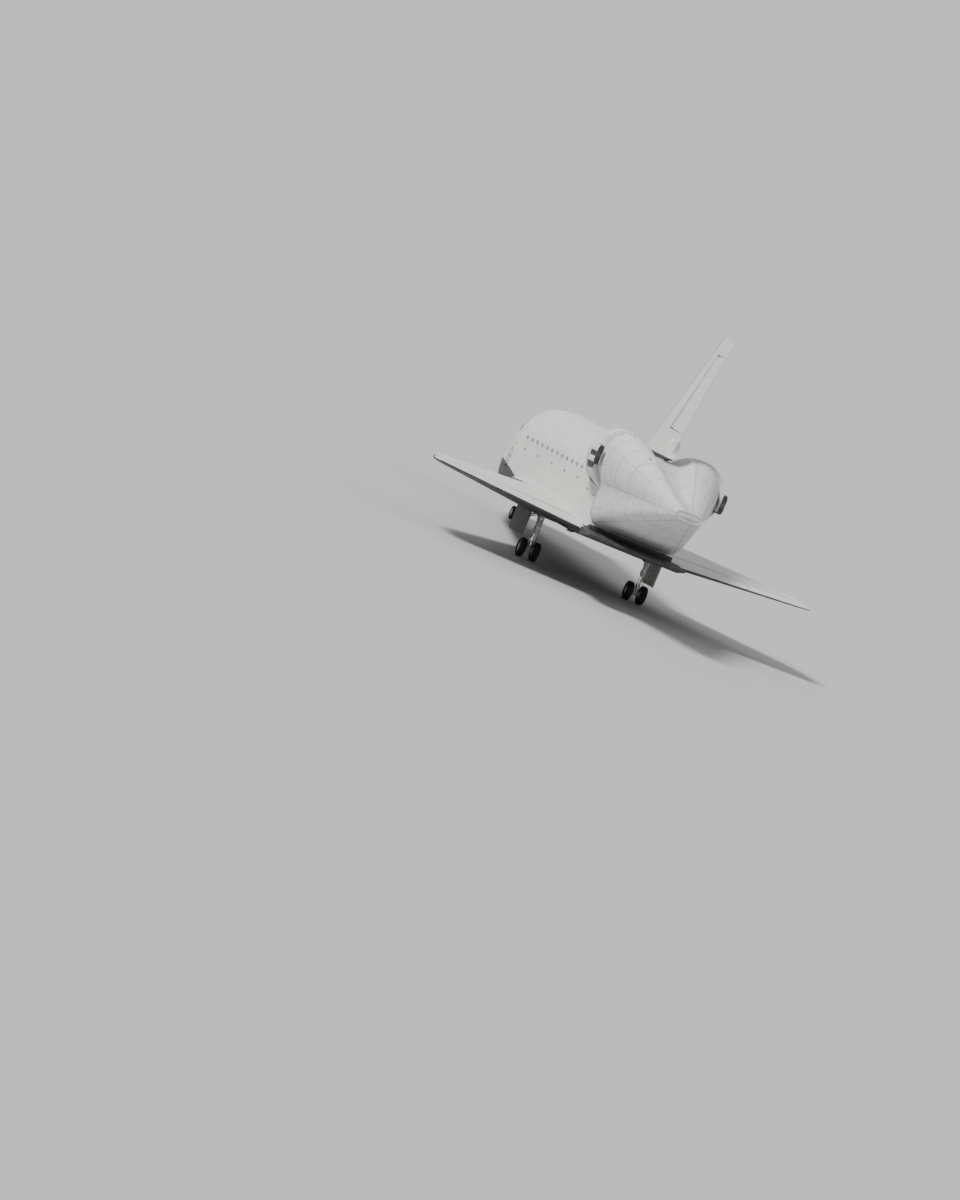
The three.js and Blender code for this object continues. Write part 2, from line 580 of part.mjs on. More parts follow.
// All that lies behind the fixed foot of the fin, whose rear edge slants in below the rudder.
function behindFoot() {
  const outline = [[1586, RUDDER.bottom], [1547, 524], [1547, 470], [1660, 470], [1660, RUDDER.bottom]]
    .map(([station, height]) => at(station, -60, height));
  return loft([outline, outline.map((p) => p.clone().setY(60))]);
}

function fin() {
  const rudderSpace = union(
    behindHinge(RUDDER.bottom, RUDDER.top),
    rudderAxis(RUDDER.bottom - 20, RUDDER.top + 20, RUDDER.room, 0.4),
  ).intersect(box([1400, -60, RUDDER.bottom], [1800, 60, RUDDER.top]));
  const shaft = rudderShaftBar(RUDDER.bottom - 4, RUDDER.top + 4, boreFor(RUDDER.shaft, 20));
  return largest(cut(finSolid(490, FIN.tip), rudderSpace, shaft, chuteBox(GAP), hullBetween(1270, AFT.back, GAP),
    coneSolid(GAP), box([CONE.front - 2, -40, 480], [1600, 40, SADDLE]),
    box([1260, -40, 480], [AFT.front + 1, 40, 600]), behindFoot()));
}

const rudderShaft = () => rudderShaftBar(RUDDER.bottom - 4 + GAP, RUDDER.top + 4 - GAP, RUDDER.shaft);

// A panel of the rudder: behind the hinge line its half of the fin, ahead of it a sector about the line.
// Its ends are stepped near the line, where a swept hinge lifts and drops them inside the fin's thickness.
function rudderPanel(s) {
  const [bottom, top] = [RUDDER.bottom + RUDDER.bottomGap, RUDDER.top - RUDDER.topGap];
  const panel = finSolid(bottom, top).intersect(behindHinge(bottom - 5, top + 5));
  const [noseBottom, noseTop] = [RUDDER.bottom + RUDDER.noseGap, RUDDER.top - RUDDER.noseGap - 0.8];
  const within = box([1400, -60, noseBottom], [1800, 60, noseTop]);
  const disc = rudderAxis(noseBottom - 20, noseTop + 20, 1, 0).intersect(within);
  const [low, high] = [noseBottom - 5, noseTop + 5];
  const sector = (z) => [[0, 0], [-59, 81], [30, 60]].map(([aft, left]) => at(finHinge(z) + aft, left, z));
  const nose = disc.intersect(loft([sector(low), sector(high)]));
  const step = (z, rows) => {
    const outline = rows.map(([aft, up]) => at(finHinge(z) + aft, -60, z + up));
    return loft([outline, outline.map((p) => p.clone().setY(60))]);
  };
  const topStep = step(RUDDER.top, [[-20, -5.8], [6.5, -5.8], [12, -1.5], [12, 10], [-20, 10]]);
  const bottomStep = step(RUDDER.bottom, [[-20, 4.4], [12, 4.4], [30, 2.1], [30, -10], [-20, -10]]);
  const half = box([1300, 0.25, 500], [1800, 60, 900]);
  const shaft = rudderShaftBar(RUDDER.bottom - 20, RUDDER.top + 20, boreFor(RUDDER.shaft, 20));
  const leftPanel = largest(cut(union(panel, nose).intersect(half), shaft, topStep, bottomStep));
  return s > 0 ? leftPanel : leftPanel.mirror([0, 1, 0]);
}

// The engine pods on the aft shoulders: station, buttline and waterline of the middle, half width, half height.
const POD = [
  [1308, 70, 440, 24, 46],
  [1316, 73, 443, 32, 53],
  [1335, 78, 446, 42, 57],
  [1365, 84, 451, 53, 62],
  [1405, 89, 456, 61, 69],
  [1450, 92, 460, 66.5, 73.5],
  [1511, 92, 461, 66, 73.5],
];
function podRing([station, y, z, w, h], s, steps = 28) {
  return Array.from({ length: steps }, (_, i) => {
    const angle = (i / steps) * Math.PI * 2;
    const [c, q] = [Math.cos(angle), Math.sin(angle)].map((v) => Math.sign(v) * Math.abs(v) ** (2 / 2.15));
    return at(station, s * (y + w * c), z + h * q);
  });
}
const STINGER = { front: 1452, back: 1549, inner: 149.5, outer: 163, bottom: 436, top: 482 };

function omsPod(s) {
  const pod = loft(POD.map((row) => podRing(row, s)));
  const fin = loft([finRing(480, GAP * 2), finRing(600, GAP * 2)]);
  const middle = box([1290, -s * 30, 380], [1530, s * 0.2, 600]);
  const body = cut(pod, hullBetween(1300, AFT.back, GAP), fin, middle, chuteBox(GAP));
  const { front, back, inner, outer, bottom, top } = STINGER;
  const stinger = loft([[front, 0.55], [front + 30, 1], [back, 1]].map(([station, size]) => {
    const [y, z, w, h] = [(inner + outer) / 2, (bottom + top) / 2, ((outer - inner) / 2) * size, ((top - bottom) / 2) * size];
    return [[-1, -0.8], [-1, 0.8], [-0.5, 1], [0.6, 1], [1, 0.6], [1, -0.6], [0.6, -1], [-0.5, -1]]
      .map(([a, b]) => at(station, s * (y + a * w), z + b * h));
  }));
  return largest(union(largest(body), stinger));
}

// The tail cone: at each station the outline is the widest of a body and two lobes that run on from the pods.
// Columns: station, half width, bottom, top, squareness, then the lobe's buttline, waterline, half width, half height.
const CONE_SECTIONS = [
  [CONE.front, 119, 302, 503, 6, 86, 462, 61, 72],
  [1560, 111, 313, 499, 5.5, 81, 457, 57, 68],
  [1620, 100, 328, 482, 5, 71, 450, 51, 60],
  [1690, 86, 345, 464, 4.6, 59, 442, 44, 49],
  [1770, 70, 364, 449, 4.2, 45, 434, 35, 35],
  [1850, 54, 382, 438, 3.8, 31, 425, 26, 22],
  [1915, 40, 396, 430, 3.4, 20, 417, 17, 14],
  [1943, 31, 402, 424, 3, 14, 413, 13, 9],
];
const CONE_RAYS = 48;

// How far a ray from the section's middle goes inside an ellipse that is moved off it.
function rayToEllipse([dy, dz], y, z, w, h) {
  const [a, b, c] = [(dy / w) ** 2 + (dz / h) ** 2, -2 * ((dy * y) / w ** 2 + (dz * z) / h ** 2), (y / w) ** 2 + (z / h) ** 2 - 1];
  const inside = b * b - 4 * a * c;
  return inside < 0 ? 0 : (-b + Math.sqrt(inside)) / (2 * a);
}

function coneRing([station, half, bottom, top, square, lobeY, lobeZ, lobeW, lobeH], grow) {
  const middle = (bottom + top) / 2;
  return Array.from({ length: CONE_RAYS }, (_, i) => {
    const angle = ((i + 0.5) / CONE_RAYS) * Math.PI * 2;
    const way = [Math.cos(angle), Math.sin(angle)];
    const body = (Math.abs(way[0] / half) ** square + Math.abs(way[1] / ((top - bottom) / 2)) ** square) ** (-1 / square);
    const lobes = [lobeY, -lobeY].map((y) => rayToEllipse(way, y, lobeZ - middle, lobeW, lobeH));
    const reach = Math.max(body, ...lobes) + grow;
    return at(station, way[0] * reach, middle + way[1] * reach);
  });
}
const coneSolid = (grow = 0) =>
  loft([...CONE_SECTIONS.slice(0, -1), [CONE.back, ...CONE_SECTIONS.at(-1).slice(1)]].map((row) => coneRing(row, grow)));

function tailCone() {
  const inner = loft([[1500, ...CONE_SECTIONS[0].slice(1)], ...CONE_SECTIONS.slice(1, -2)].map((row) => coneRing(row, -CONE.skin)));
  return cut(coneSolid(), inner);
}

// Each main engine is one plain block on the thrust frame: buttline and waterline at the front and at the back.
const ENGINE = { front: AFT.pocket + GAP, back: 1600, radius: 24, bell: 34 };
const ENGINES = [
  { name: "top", front: [0, 436], back: [0, 438] },
  { name: "left", front: [46, 352], back: [44, 368] },
  { name: "right", front: [-46, 352], back: [-44, 368] },
];
const engine = ({ front, back }) =>
  bar(at(ENGINE.front + 8, ...front), at(ENGINE.back, ...back), ENGINE.radius, ENGINE.bell, 24)
    .add(bar(at(ENGINE.front, ...front), at(ENGINE.front + 24, ...front), ENGINE.radius, ENGINE.radius, 24));

// Wheels, as solids about the origin with their axle along Y, turned so that a flat is lowest.
const WHEEL_TURN = new THREE.Matrix4().makeRotationY(Math.PI / WHEEL_SIDES + Math.PI / 2);
function tyreSolid({ radius, width, rim }) {
  const [w, flat] = [width / 2, radius / Math.cos(Math.PI / WHEEL_SIDES)];
  const inner = rim + GAP;
  const outline = [
    [inner, -w * 0.8], [rim + 3, -w], [radius - 4.2, -w], [flat - 1.2, -w * 0.78], [flat, -w * 0.42],
    [flat, w * 0.42], [flat - 1.2, w * 0.78], [radius - 4.2, w], [rim + 3, w], [inner, w * 0.8], [inner, -w * 0.8],
  ].map(([r, y]) => new THREE.Vector2(r, y));
  return solidOf(new THREE.LatheGeometry(outline, WHEEL_SIDES), WHEEL_TURN);
}
function rimSolid({ width, rim }, outside) {
  const w = width / 2;
  const outline = [
    [0, -w * 0.5], [rim * 0.45, -w * 0.3], [rim * 0.88, -w * 0.35], [rim, -w * 0.78], [rim, w * 0.78],
    [rim * 0.88, w * 0.7], [rim * 0.4, w * 0.5], [rim * 0.3, w * 0.75], [0, w * 0.75],
  ].map(([r, y]) => new THREE.Vector2(r, y * outside));
  const profile = outside > 0 ? outline : outline.reverse();
  return solidOf(new THREE.LatheGeometry(profile, WHEEL_SIDES), WHEEL_TURN);
}
const shifted = (solid, y) => solid.translate([0, y, 0]);
const wheelPair = (gear, axleRadius) => {
  const half = gear.spacing / 2;
  const axle = bar(new THREE.Vector3(0, -half, 0), new THREE.Vector3(0, half, 0), axleRadius, axleRadius, 24);
  return union(shifted(rimSolid(gear, 1), half), shifted(rimSolid(gear, -1), -half), axle);
};

// Main gear: leg with its cross shaft in the well, and the drag brace ahead of it.
const MAIN_LEG = { cross: 299, station: 1180, cylinder: 6.5, piston: 4.6, collar: 246, axle: 3.4, hub: 6 };
function mainLeg(s) {
  const { out, station, axle } = MAIN_GEAR;
  const y = out * s;
  const top = at(MAIN_LEG.station, y, MAIN_LEG.cross);
  const foot = at(station, y, axle);
  const joint = top.clone().lerp(foot, 0.62);
  const cross = bar(at(MAIN_LEG.station, s * (MAIN_WELL.inner + GAP), MAIN_LEG.cross),
    at(MAIN_LEG.station, s * (MAIN_WELL.outer - GAP), MAIN_LEG.cross), 5, 5, 20);
  const hub = bar(at(station, y - MAIN_LEG.hub, axle), at(station, y + MAIN_LEG.hub, axle), 5.6, 5.6, 24);
  const hole = boreFor(MAIN_LEG.axle, 24);
  const bore = bar(at(station, y - 20, axle), at(station, y + 20, axle), hole, hole, 24);
  const link = (low, high, aft) => {
    const [a, b] = [top.clone().lerp(foot, high), top.clone().lerp(foot, low)];
    const knee = a.clone().lerp(b, 0.5).add(new THREE.Vector3(-aft, 0, 0));
    return union(bar(a, knee, 1.6, 1.6, 12), bar(knee, b, 1.6, 1.6, 12));
  };
  const collar = bar(top.clone().lerp(foot, 0.52), top.clone().lerp(foot, 0.6), 8, 8, 20);
  const leg = union(cross, bar(top, joint, MAIN_LEG.cylinder), bar(joint, foot, MAIN_LEG.piston), collar, hub,
    link(0.9, 0.5, 12));
  return cut(leg, bore);
}
function mainBrace(s) {
  const y = MAIN_GEAR.out * s;
  const [top, foot] = [at(MAIN_LEG.station, y, MAIN_LEG.cross), at(MAIN_GEAR.station, y, MAIN_GEAR.axle)];
  const low = top.clone().lerp(foot, 0.5).add(new THREE.Vector3(MAIN_LEG.cylinder + 1.9, 0, 0));
  const high = at(1092, y, MAIN_WELL.roof - 4);
  const mid = low.clone().lerp(high, 0.5);
  const pad = box([1084, y - 9, MAIN_WELL.roof - 6], [1100, y + 9, MAIN_WELL.roof - GAP]);
  const arms = [-1, 1].map((k) => {
    const aside = new THREE.Vector3(0, k * 7, 0);
    return bar(high.clone().add(aside), mid, 2.2, 2.2, 12);
  });
  return union(pad, bar(low, mid, 2.6, 2.6, 12), ...arms);
}
const mainDoor = (s) =>
  box([MAIN_WELL.front + 2, s * (MAIN_WELL.outer - GAP), 214], [MAIN_WELL.back - 4, s * (MAIN_WELL.outer - 2.6), 283]);

// Nose gear: the fixed leg, its brace, and the steered piston below it.
const NOSE_AXLE = noseAxleHeight();
const NOSE_LEG = { station: 368, cross: 322, cylinder: 5, piston: 3.4, lowEnd: 262, axle: 2.2 };
const noseTop = () => at(NOSE_LEG.station, 0, NOSE_LEG.cross);
const noseFoot = () => at(NOSE_GEAR.station, 0, NOSE_AXLE);
const noseJoint = () => noseTop().lerp(noseFoot(), (NOSE_LEG.cross - NOSE_LEG.lowEnd) / (NOSE_LEG.cross - NOSE_AXLE));

// The axle height that sets both pairs of tyres on one flat ground at the parked pitch.
function noseAxleHeight() {
  const { station, axle, radius } = MAIN_GEAR;
  const ground = axle * Math.cos(GROUND_PITCH) + station * Math.sin(GROUND_PITCH) - radius;
  return (ground + NOSE_GEAR.radius - NOSE_GEAR.station * Math.sin(GROUND_PITCH)) / Math.cos(GROUND_PITCH);
}

function noseLeg() {
  const cross = bar(at(NOSE_LEG.station, -22 + GAP, NOSE_LEG.cross), at(NOSE_LEG.station, 22 - GAP, NOSE_LEG.cross), 3.6);
  const cylinder = bar(noseTop(), noseJoint(), NOSE_LEG.cylinder);
  const bore = bar(noseTop().lerp(noseJoint(), 0.5), noseFoot(), boreFor(NOSE_LEG.piston, 20));
  return cut(union(cross, cylinder), bore);
}
function noseBrace() {
  const low = noseTop().lerp(noseJoint(), 0.7).add(new THREE.Vector3(NOSE_LEG.cylinder + 1.6 + GAP, 0, 0));
  const high = at(312, 0, 330);
  const pad = box([306, -8, 326], [318, 8, 338 - GAP]);
  const mid = low.clone().lerp(high, 0.5);
  return union(pad, bar(low, mid, 1.6, 1.6, 12), ...[-6, 6].map((y) => bar(high.clone().setY(y), mid, 1.5, 1.5, 12)));
}
function nosePiston() {
  const piston = bar(noseTop().lerp(noseJoint(), 0.5 + 0.01), noseFoot(), NOSE_LEG.piston);
  const collar = bar(noseJoint().lerp(noseFoot(), 0.03), noseJoint().lerp(noseFoot(), 0.2), 5.4);
  const hub = bar(at(NOSE_GEAR.station, -4, NOSE_AXLE), at(NOSE_GEAR.station, 4, NOSE_AXLE), 3.8, 3.8, 24);
  const hole = boreFor(NOSE_LEG.axle, 24);
  const bore = bar(at(NOSE_GEAR.station, -20, NOSE_AXLE), at(NOSE_GEAR.station, 20, NOSE_AXLE), hole, hole, 24);
  return cut(union(piston, collar, hub), bore);
}
const noseDoor = (s) => box([297, s * (22 - GAP), 261], [374, s * 20.4, 297]);

// The fittings by which the vehicle is carried: one behind the nose gear and two at the back.
const FITTINGS = [
  { name: "forward_attach_fitting", station: 391, left: 0, radius: 6 },
  { name: "aft_attach_fitting_left", station: 1317, left: 96.5, radius: 7.5 },
  { name: "aft_attach_fitting_right", station: 1317, left: -96.5, radius: 7.5 },
];
const FITTING = { drop: 3, top: 2 };
function fittingSolid({ station, left, radius }, grow = 0) {
  const bottom = rowAt(HULL, station)[2];
  return bar(at(station, left, bottom + FITTING.top + grow), at(station, left, bottom - FITTING.drop), radius + grow, radius * 0.8 + grow, 20);
}

// The assembly.
const vehicle = new THREE.Group();
vehicle.scale.setScalar(UNIT);
vehicle.rotation.y = GROUND_PITCH;

function add(parent, name, solid, colour) {
  const mesh = new THREE.Mesh(geometryOf(solid), new THREE.MeshStandardMaterial(COLOURS[colour]));
  mesh.name = name;
  parent.add(mesh);
  return mesh;
}

const fittings = FITTINGS.map((f) => fittingSolid(f, GAP));
add(vehicle, "nose_cap", hullBetween(HULL[0][0], CAP_END), "carbon");
add(vehicle, "forward_fuselage", cut(forwardFuselage(), fittings[0]), "whiteBlanket");
add(vehicle, "cabin_glazing", cabinGlazing(), "glass");
add(vehicle, "crew_hatch", crewHatch(), "whiteBlanket");
add(vehicle, "flight_deck", flightDeck(), "cabin");
add(vehicle, "crew_seat_left", crewSeat(26), "cabin");
add(vehicle, "crew_seat_right", crewSeat(-26), "cabin");
add(vehicle, "mid_fuselage", midFuselage(), "whiteBlanket");
add(vehicle, "aft_fuselage", cut(aftFuselage(), fittings[1], fittings[2]), "whiteBlanket");
add(vehicle, "fin", fin(), "whiteBlanket");
add(vehicle, "rudder_shaft", rudderShaft(), "bareMetal");
add(vehicle, "drag_chute_housing", cut(chuteBox(), hullBetween(1400, AFT.back, GAP)), "whiteBlanket");
add(vehicle, "body_flap", bodyFlap(), "blackTile");
add(vehicle, "tail_cone", tailCone(), "coneWhite");
for (const one of ENGINES) add(vehicle, `main_engine_${one.name}`, engine(one), "bareMetal");
for (const one of FITTINGS) add(vehicle, one.name, fittingSolid(one), "bareMetal");

for (const { name, s } of SIDES) {
  add(vehicle, `wing_${name}`, wing(s), "whiteBlanket");
  add(vehicle, `wing_edge_${name}`, wingEdge(s), "carbon");
  for (const part of ["inner", "outer"])
    add(vehicle, `elevon_${part}_${name}`, elevon(s, ELEVON_SPANS[part]), "whiteBlanket");
  add(vehicle, `payload_door_${name}`, payloadDoor(s), "whiteBlanket");
  add(vehicle, `radiator_${name}`, radiator(s), "radiator");
  add(vehicle, `rudder_${name}`, rudderPanel(s), "whiteBlanket");
  add(vehicle, `oms_pod_${name}`, omsPod(s), "whiteBlanket");
  add(vehicle, `main_leg_${name}`, mainLeg(s), "gearWhite");
  add(vehicle, `main_brace_${name}`, mainBrace(s), "gearWhite");
  add(vehicle, `main_door_${name}`, mainDoor(s), "blackTile");
  add(vehicle, `nose_door_${name}`, noseDoor(s), "blackTile");
}
add(vehicle, "nose_leg", noseLeg(), "gearWhite");
add(vehicle, "nose_brace", noseBrace(), "gearWhite");
add(vehicle, "nose_piston", nosePiston(), "gearWhite");

// Wheel sets stand upright in the ground's frame, so that a flat of each tyre lies on it.
function wheelSet(gear, station, left, height, axleRadius, label) {
  const set = new THREE.Group();
  set.position.copy(at(station, left, height));
  set.rotation.y = -GROUND_PITCH;
  add(set, `${label}_wheels`, wheelPair(gear, axleRadius), "gearWhite");
  for (const side of SIDES)
    add(set, `${label}_tyre_${side.name}`, shifted(tyreSolid(gear), (side.s * gear.spacing) / 2), "tyre");
  vehicle.add(set);
}
wheelSet(NOSE_GEAR, NOSE_GEAR.station, 0, NOSE_AXLE, NOSE_LEG.axle, "nose");
for (const { name, s } of SIDES)
  wheelSet(MAIN_GEAR, MAIN_GEAR.station, MAIN_GEAR.out * s, MAIN_GEAR.axle, MAIN_LEG.axle, `main_${name}`);

// Set the tyres on the ground and the middle of the length over the origin.
const orbiter = new THREE.Group();
orbiter.add(vehicle);
vehicle.updateMatrixWorld(true);
const reach = new THREE.Box3().setFromObject(vehicle, true);
vehicle.position.set(-(reach.min.x + reach.max.x) / 2, 0, -reach.min.z);

export default orbiter;
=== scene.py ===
"""Dresses the solids of a half-scale space shuttle orbiter, and adds what is too fine for them."""

import json
import math
from types import SimpleNamespace

import bmesh
import bpy
from mathutils import Matrix, Vector
from mathutils.bvhtree import BVHTree


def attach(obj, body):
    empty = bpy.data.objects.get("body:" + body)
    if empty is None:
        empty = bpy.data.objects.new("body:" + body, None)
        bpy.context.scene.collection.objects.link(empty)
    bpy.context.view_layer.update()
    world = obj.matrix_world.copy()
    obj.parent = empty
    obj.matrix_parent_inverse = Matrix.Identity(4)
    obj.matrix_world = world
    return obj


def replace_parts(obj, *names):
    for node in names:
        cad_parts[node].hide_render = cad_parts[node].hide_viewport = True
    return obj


bl_info = {
    "name": "Orbiter finish",
    "version": (1, 0, 0),
    "blender": (4, 5, 0),
    "location": "View3D > Sidebar > Orbiter",
    "description": "Dresses the orbiter's solids with skins, ports, seams, gear fittings and a studio",
    "category": "Object",
}

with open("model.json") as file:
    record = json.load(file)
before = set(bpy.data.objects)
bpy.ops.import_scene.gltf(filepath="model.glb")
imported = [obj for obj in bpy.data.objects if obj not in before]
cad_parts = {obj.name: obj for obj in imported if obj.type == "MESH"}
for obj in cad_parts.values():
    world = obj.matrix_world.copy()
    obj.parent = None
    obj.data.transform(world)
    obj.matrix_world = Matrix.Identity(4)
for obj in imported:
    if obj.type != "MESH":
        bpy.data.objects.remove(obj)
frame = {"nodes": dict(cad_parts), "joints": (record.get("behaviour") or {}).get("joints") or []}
NODES = frame["nodes"]
JOINTS = {joint["name"]: joint for joint in frame["joints"]}
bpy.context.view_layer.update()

# The vehicle is drawn at full size in inches: station aft, left of the middle, height.
INCH = 0.0127
PITCH = math.radians(3.5)
TURN = Matrix.Rotation(PITCH, 3, "Y")
LEFT_AXLE = Vector((-1172, 136, 187))
ORIGIN = Vector(JOINTS["main_left_wheels_spin"]["pos_m"]) - INCH * (TURN @ LEFT_AXLE)
SIDES = (("left", 1), ("right", -1))

HULL_MIDDLE = 400  # height of the middle of the hull's round shoulders and of the cargo bay
BELLY = 279
WING_PLANE = 279.8  # height of the wing's chord plane in the middle
WING_RISE = 0.06116
FIN = {"lead": 777.9, "foot": 500, "tall": 315.72, "root": 268.5, "tip": 108.47, "hinge": 0.603}


def at(station, left, height):
    """A place on the vehicle, in the model's metres."""
    return ORIGIN + INCH * (TURN @ Vector((-station, left, height)))


def way(aft, left, up):
    """A direction on the vehicle, in the model's frame."""
    return (TURN @ Vector((-aft, left, up))).normalized()


def where(place):
    """The station, left and height of a place in the model."""
    x, y, z = TURN.inverted() @ (place - ORIGIN) / INCH
    return -x, y, z


# Node trees


class Signal:
    """A node's output in a tree, for sums written as plain arithmetic. & and | join masks."""

    def __init__(self, net, socket):
        self.net = net
        self.socket = socket

    def maths(self, operation, *others):
        return self.net.maths(operation, self, *others)

    def __add__(self, other):
        return self.maths("ADD", other)

    def __sub__(self, other):
        return self.maths("SUBTRACT", other)

    def __rsub__(self, other):
        return self.net.maths("SUBTRACT", other, self)

    def __mul__(self, other):
        return self.maths("MULTIPLY", other)

    def __truediv__(self, other):
        return self.maths("DIVIDE", other)

    def __and__(self, mask):
        return self.maths("MULTIPLY", mask)

    def __or__(self, mask):
        return self.maths("MAXIMUM", mask)

    def ranged(self, low, high, to_low=0.0, to_high=1.0):
        made = self.net.node("ShaderNodeMapRange")
        given = {"Value": self, "From Min": low, "From Max": high, "To Min": to_low, "To Max": to_high}
        for name, value in given.items():
            self.net.put(made.inputs[name], value)
        return Signal(self.net, made.outputs["Result"])

    def below(self, edge, soft=0.6):
        """A mask that is 1 where the value is under the edge."""
        return (self - edge).ranged(-soft, soft, 1.0, 0.0)

    def above(self, edge, soft=0.6):
        """A mask that is 1 where the value is over the edge."""
        return (edge - self).ranged(-soft, soft, 1.0, 0.0)

    def within(self, low, high, soft=0.1):
        return self.above(low, soft) & self.below(high, soft)

    def table(self, rows):
        """Reads a table of (position, value) rows, straight between them."""
        low, high = rows[0][0], rows[-1][0]
        least = min(row[1] for row in rows)
        most = max(row[1] for row in rows)
        ramp = self.net.node("ShaderNodeValToRGB")
        self.net.put(ramp.inputs[0], self.ranged(low, high))
        points = ramp.color_ramp.elements
        while len(points) < len(rows):
            points.new(0.5)
        for point, (position, level) in zip(points, rows):
            point.position = (position - low) / (high - low)
            grey = (level - least) / (most - least)
            point.color = (grey, grey, grey, 1)
        return Signal(self.net, ramp.outputs["Color"]).ranged(0.0, 1.0, least, most)


class Net:
    """Adds nodes to a tree and links them as it goes."""

    def __init__(self, tree):
        self.tree = tree
        self.count = 0

    def node(self, kind, **settings):
        made = self.tree.nodes.new(kind)
        made.location = (self.count % 10 * 200, -(self.count // 10) * 260)
        self.count += 1
        for name, value in settings.items():
            setattr(made, name, value)
        return made

    def put(self, socket, value):
        if isinstance(value, Signal):
            self.tree.links.new(value.socket, socket)
        else:
            socket.default_value = value

    def maths(self, operation, *values, clamp=False):
        made = self.node("ShaderNodeMath", operation=operation, use_clamp=clamp)
        for socket, value in zip(made.inputs, values):
            self.put(socket, value)
        return Signal(self, made.outputs[0])

    def mix(self, share, first, second):
        """The first colour, with a share of the second over it."""
        made = self.node("ShaderNodeMix", data_type="RGBA")
        self.put(made.inputs[0], share)
        for socket, colour in ((made.inputs[6], first), (made.inputs[7], second)):
            self.put(socket, colour if isinstance(colour, Signal) else (*colour, 1))
        return Signal(self, made.outputs[2])

    def noise(self, vector, scale, detail=3.0, roughness=0.5):
        made = self.node("ShaderNodeTexNoise")
        given = {"Vector": vector, "Scale": scale, "Detail": detail, "Roughness": roughness}
        for name, value in given.items():
            self.put(made.inputs[name], value)
        return Signal(self, made.outputs["Fac"])

    def chance(self, u, v):
        """A random level for each whole step of u and v."""
        pair = self.node("ShaderNodeCombineXYZ")
        for socket, value in zip(pair.inputs, (u.maths("FLOOR"), v.maths("FLOOR"))):
            self.put(socket, value)
        made = self.node("ShaderNodeTexWhiteNoise", noise_dimensions="2D")
        self.put(made.inputs["Vector"], Signal(self, pair.outputs[0]))
        return Signal(self, made.outputs["Value"])

    def group(self, name, **values):
        """Puts a shader group in the tree. Its outputs have their names in small letters."""
        made = self.node("ShaderNodeGroup")
        made.node_tree = GROUPS[name]
        for title, value in values.items():
            self.put(made.inputs[title.replace("_", " ").capitalize()], value)
        return self.named(made.outputs)

    def named(self, outputs):
        names = {one.name.lower().replace(" ", "_"): one for one in outputs if one.name}
        return SimpleNamespace(**{name: Signal(self, one) for name, one in names.items()})


GROUPS = {}
FINISHES = {}
SOCKETS = {"float": "NodeSocketFloat", "vector": "NodeSocketVector"}


def new_group(title, inputs, outputs):
    """An empty shader group, with inputs as (name, kind, value) and outputs as (name, kind)."""
    tree = bpy.data.node_groups.new(title, "ShaderNodeTree")
    for name, kind, value in inputs:
        socket = tree.interface.new_socket(name=name, in_out="INPUT", socket_type=SOCKETS[kind])
        if value is not None:
            socket.default_value = value
    for name, kind in outputs:
        tree.interface.new_socket(name=name, in_out="OUTPUT", socket_type=SOCKETS[kind])
    net = Net(tree)
    return tree, net, net.named(net.node("NodeGroupInput").outputs), net.node("NodeGroupOutput").inputs


def place_group():
    """Object coordinates turned into the vehicle's own inches."""
    names = ("Station", "Left", "Across", "Height")
    outputs = [(name, "float") for name in names] + [("Place", "vector")]
    tree, net, _, out = new_group("Vehicle place", (), outputs)
    mapping = net.node("ShaderNodeMapping")
    net.put(mapping.inputs["Vector"], Signal(net, net.node("ShaderNodeTexCoord").outputs["Object"]))
    mapping.inputs["Scale"].default_value = (1 / INCH,) * 3
    mapping.inputs["Rotation"].default_value = (0, -PITCH, 0)
    mapping.inputs["Location"].default_value = -(TURN.inverted() @ ORIGIN) / INCH
    place = Signal(net, mapping.outputs[0])
    parts = net.node("ShaderNodeSeparateXYZ")
    net.put(parts.inputs[0], place)
    forward, left, up = (Signal(net, part) for part in parts.outputs)
    for name, value in zip((*names, "Place"), (forward * -1.0, left, left.maths("ABSOLUTE"), up, place)):
        net.put(out[name], value)
    return tree


def tile_group():
    """Square tiles: their gaps, a level for each tile, and a height for bump."""
    tree, net, given, out = new_group(
        "Square tiles",
        (("U", "float", 0.0), ("V", "float", 0.0), ("Size", "float", 6.0), ("Gap", "float", 0.03)),
        (("Gap", "float"), ("Level", "float"), ("Relief", "float")))
    across = [given.u / given.size, given.v / given.size]
    inside = [(value.maths("FRACT") - 0.5).maths("ABSOLUTE") for value in across]
    gap = net.maths("MAXIMUM", *inside).ranged(0.5 - given.gap * 2.0, 0.5 - given.gap * 0.6)
    level = net.chance(*across)
    net.put(out["Gap"], gap)
    net.put(out["Level"], level)
    net.put(out["Relief"], level * 0.25 - gap)
    return tree


def quilt_group():
    """Stitched blanket: rows of small pillows."""
    tree, net, given, out = new_group(
        "Quilted blanket", (("U", "float", 0.0), ("V", "float", 0.0), ("Pitch", "float", 1.5)),
        (("Relief", "float"),))
    waves = [(axis * math.pi / given.pitch).maths("SINE").maths("ABSOLUTE") for axis in (given.u, given.v)]
    net.put(out["Relief"], net.maths("MULTIPLY", *waves).maths("POWER", 0.4))
    return tree


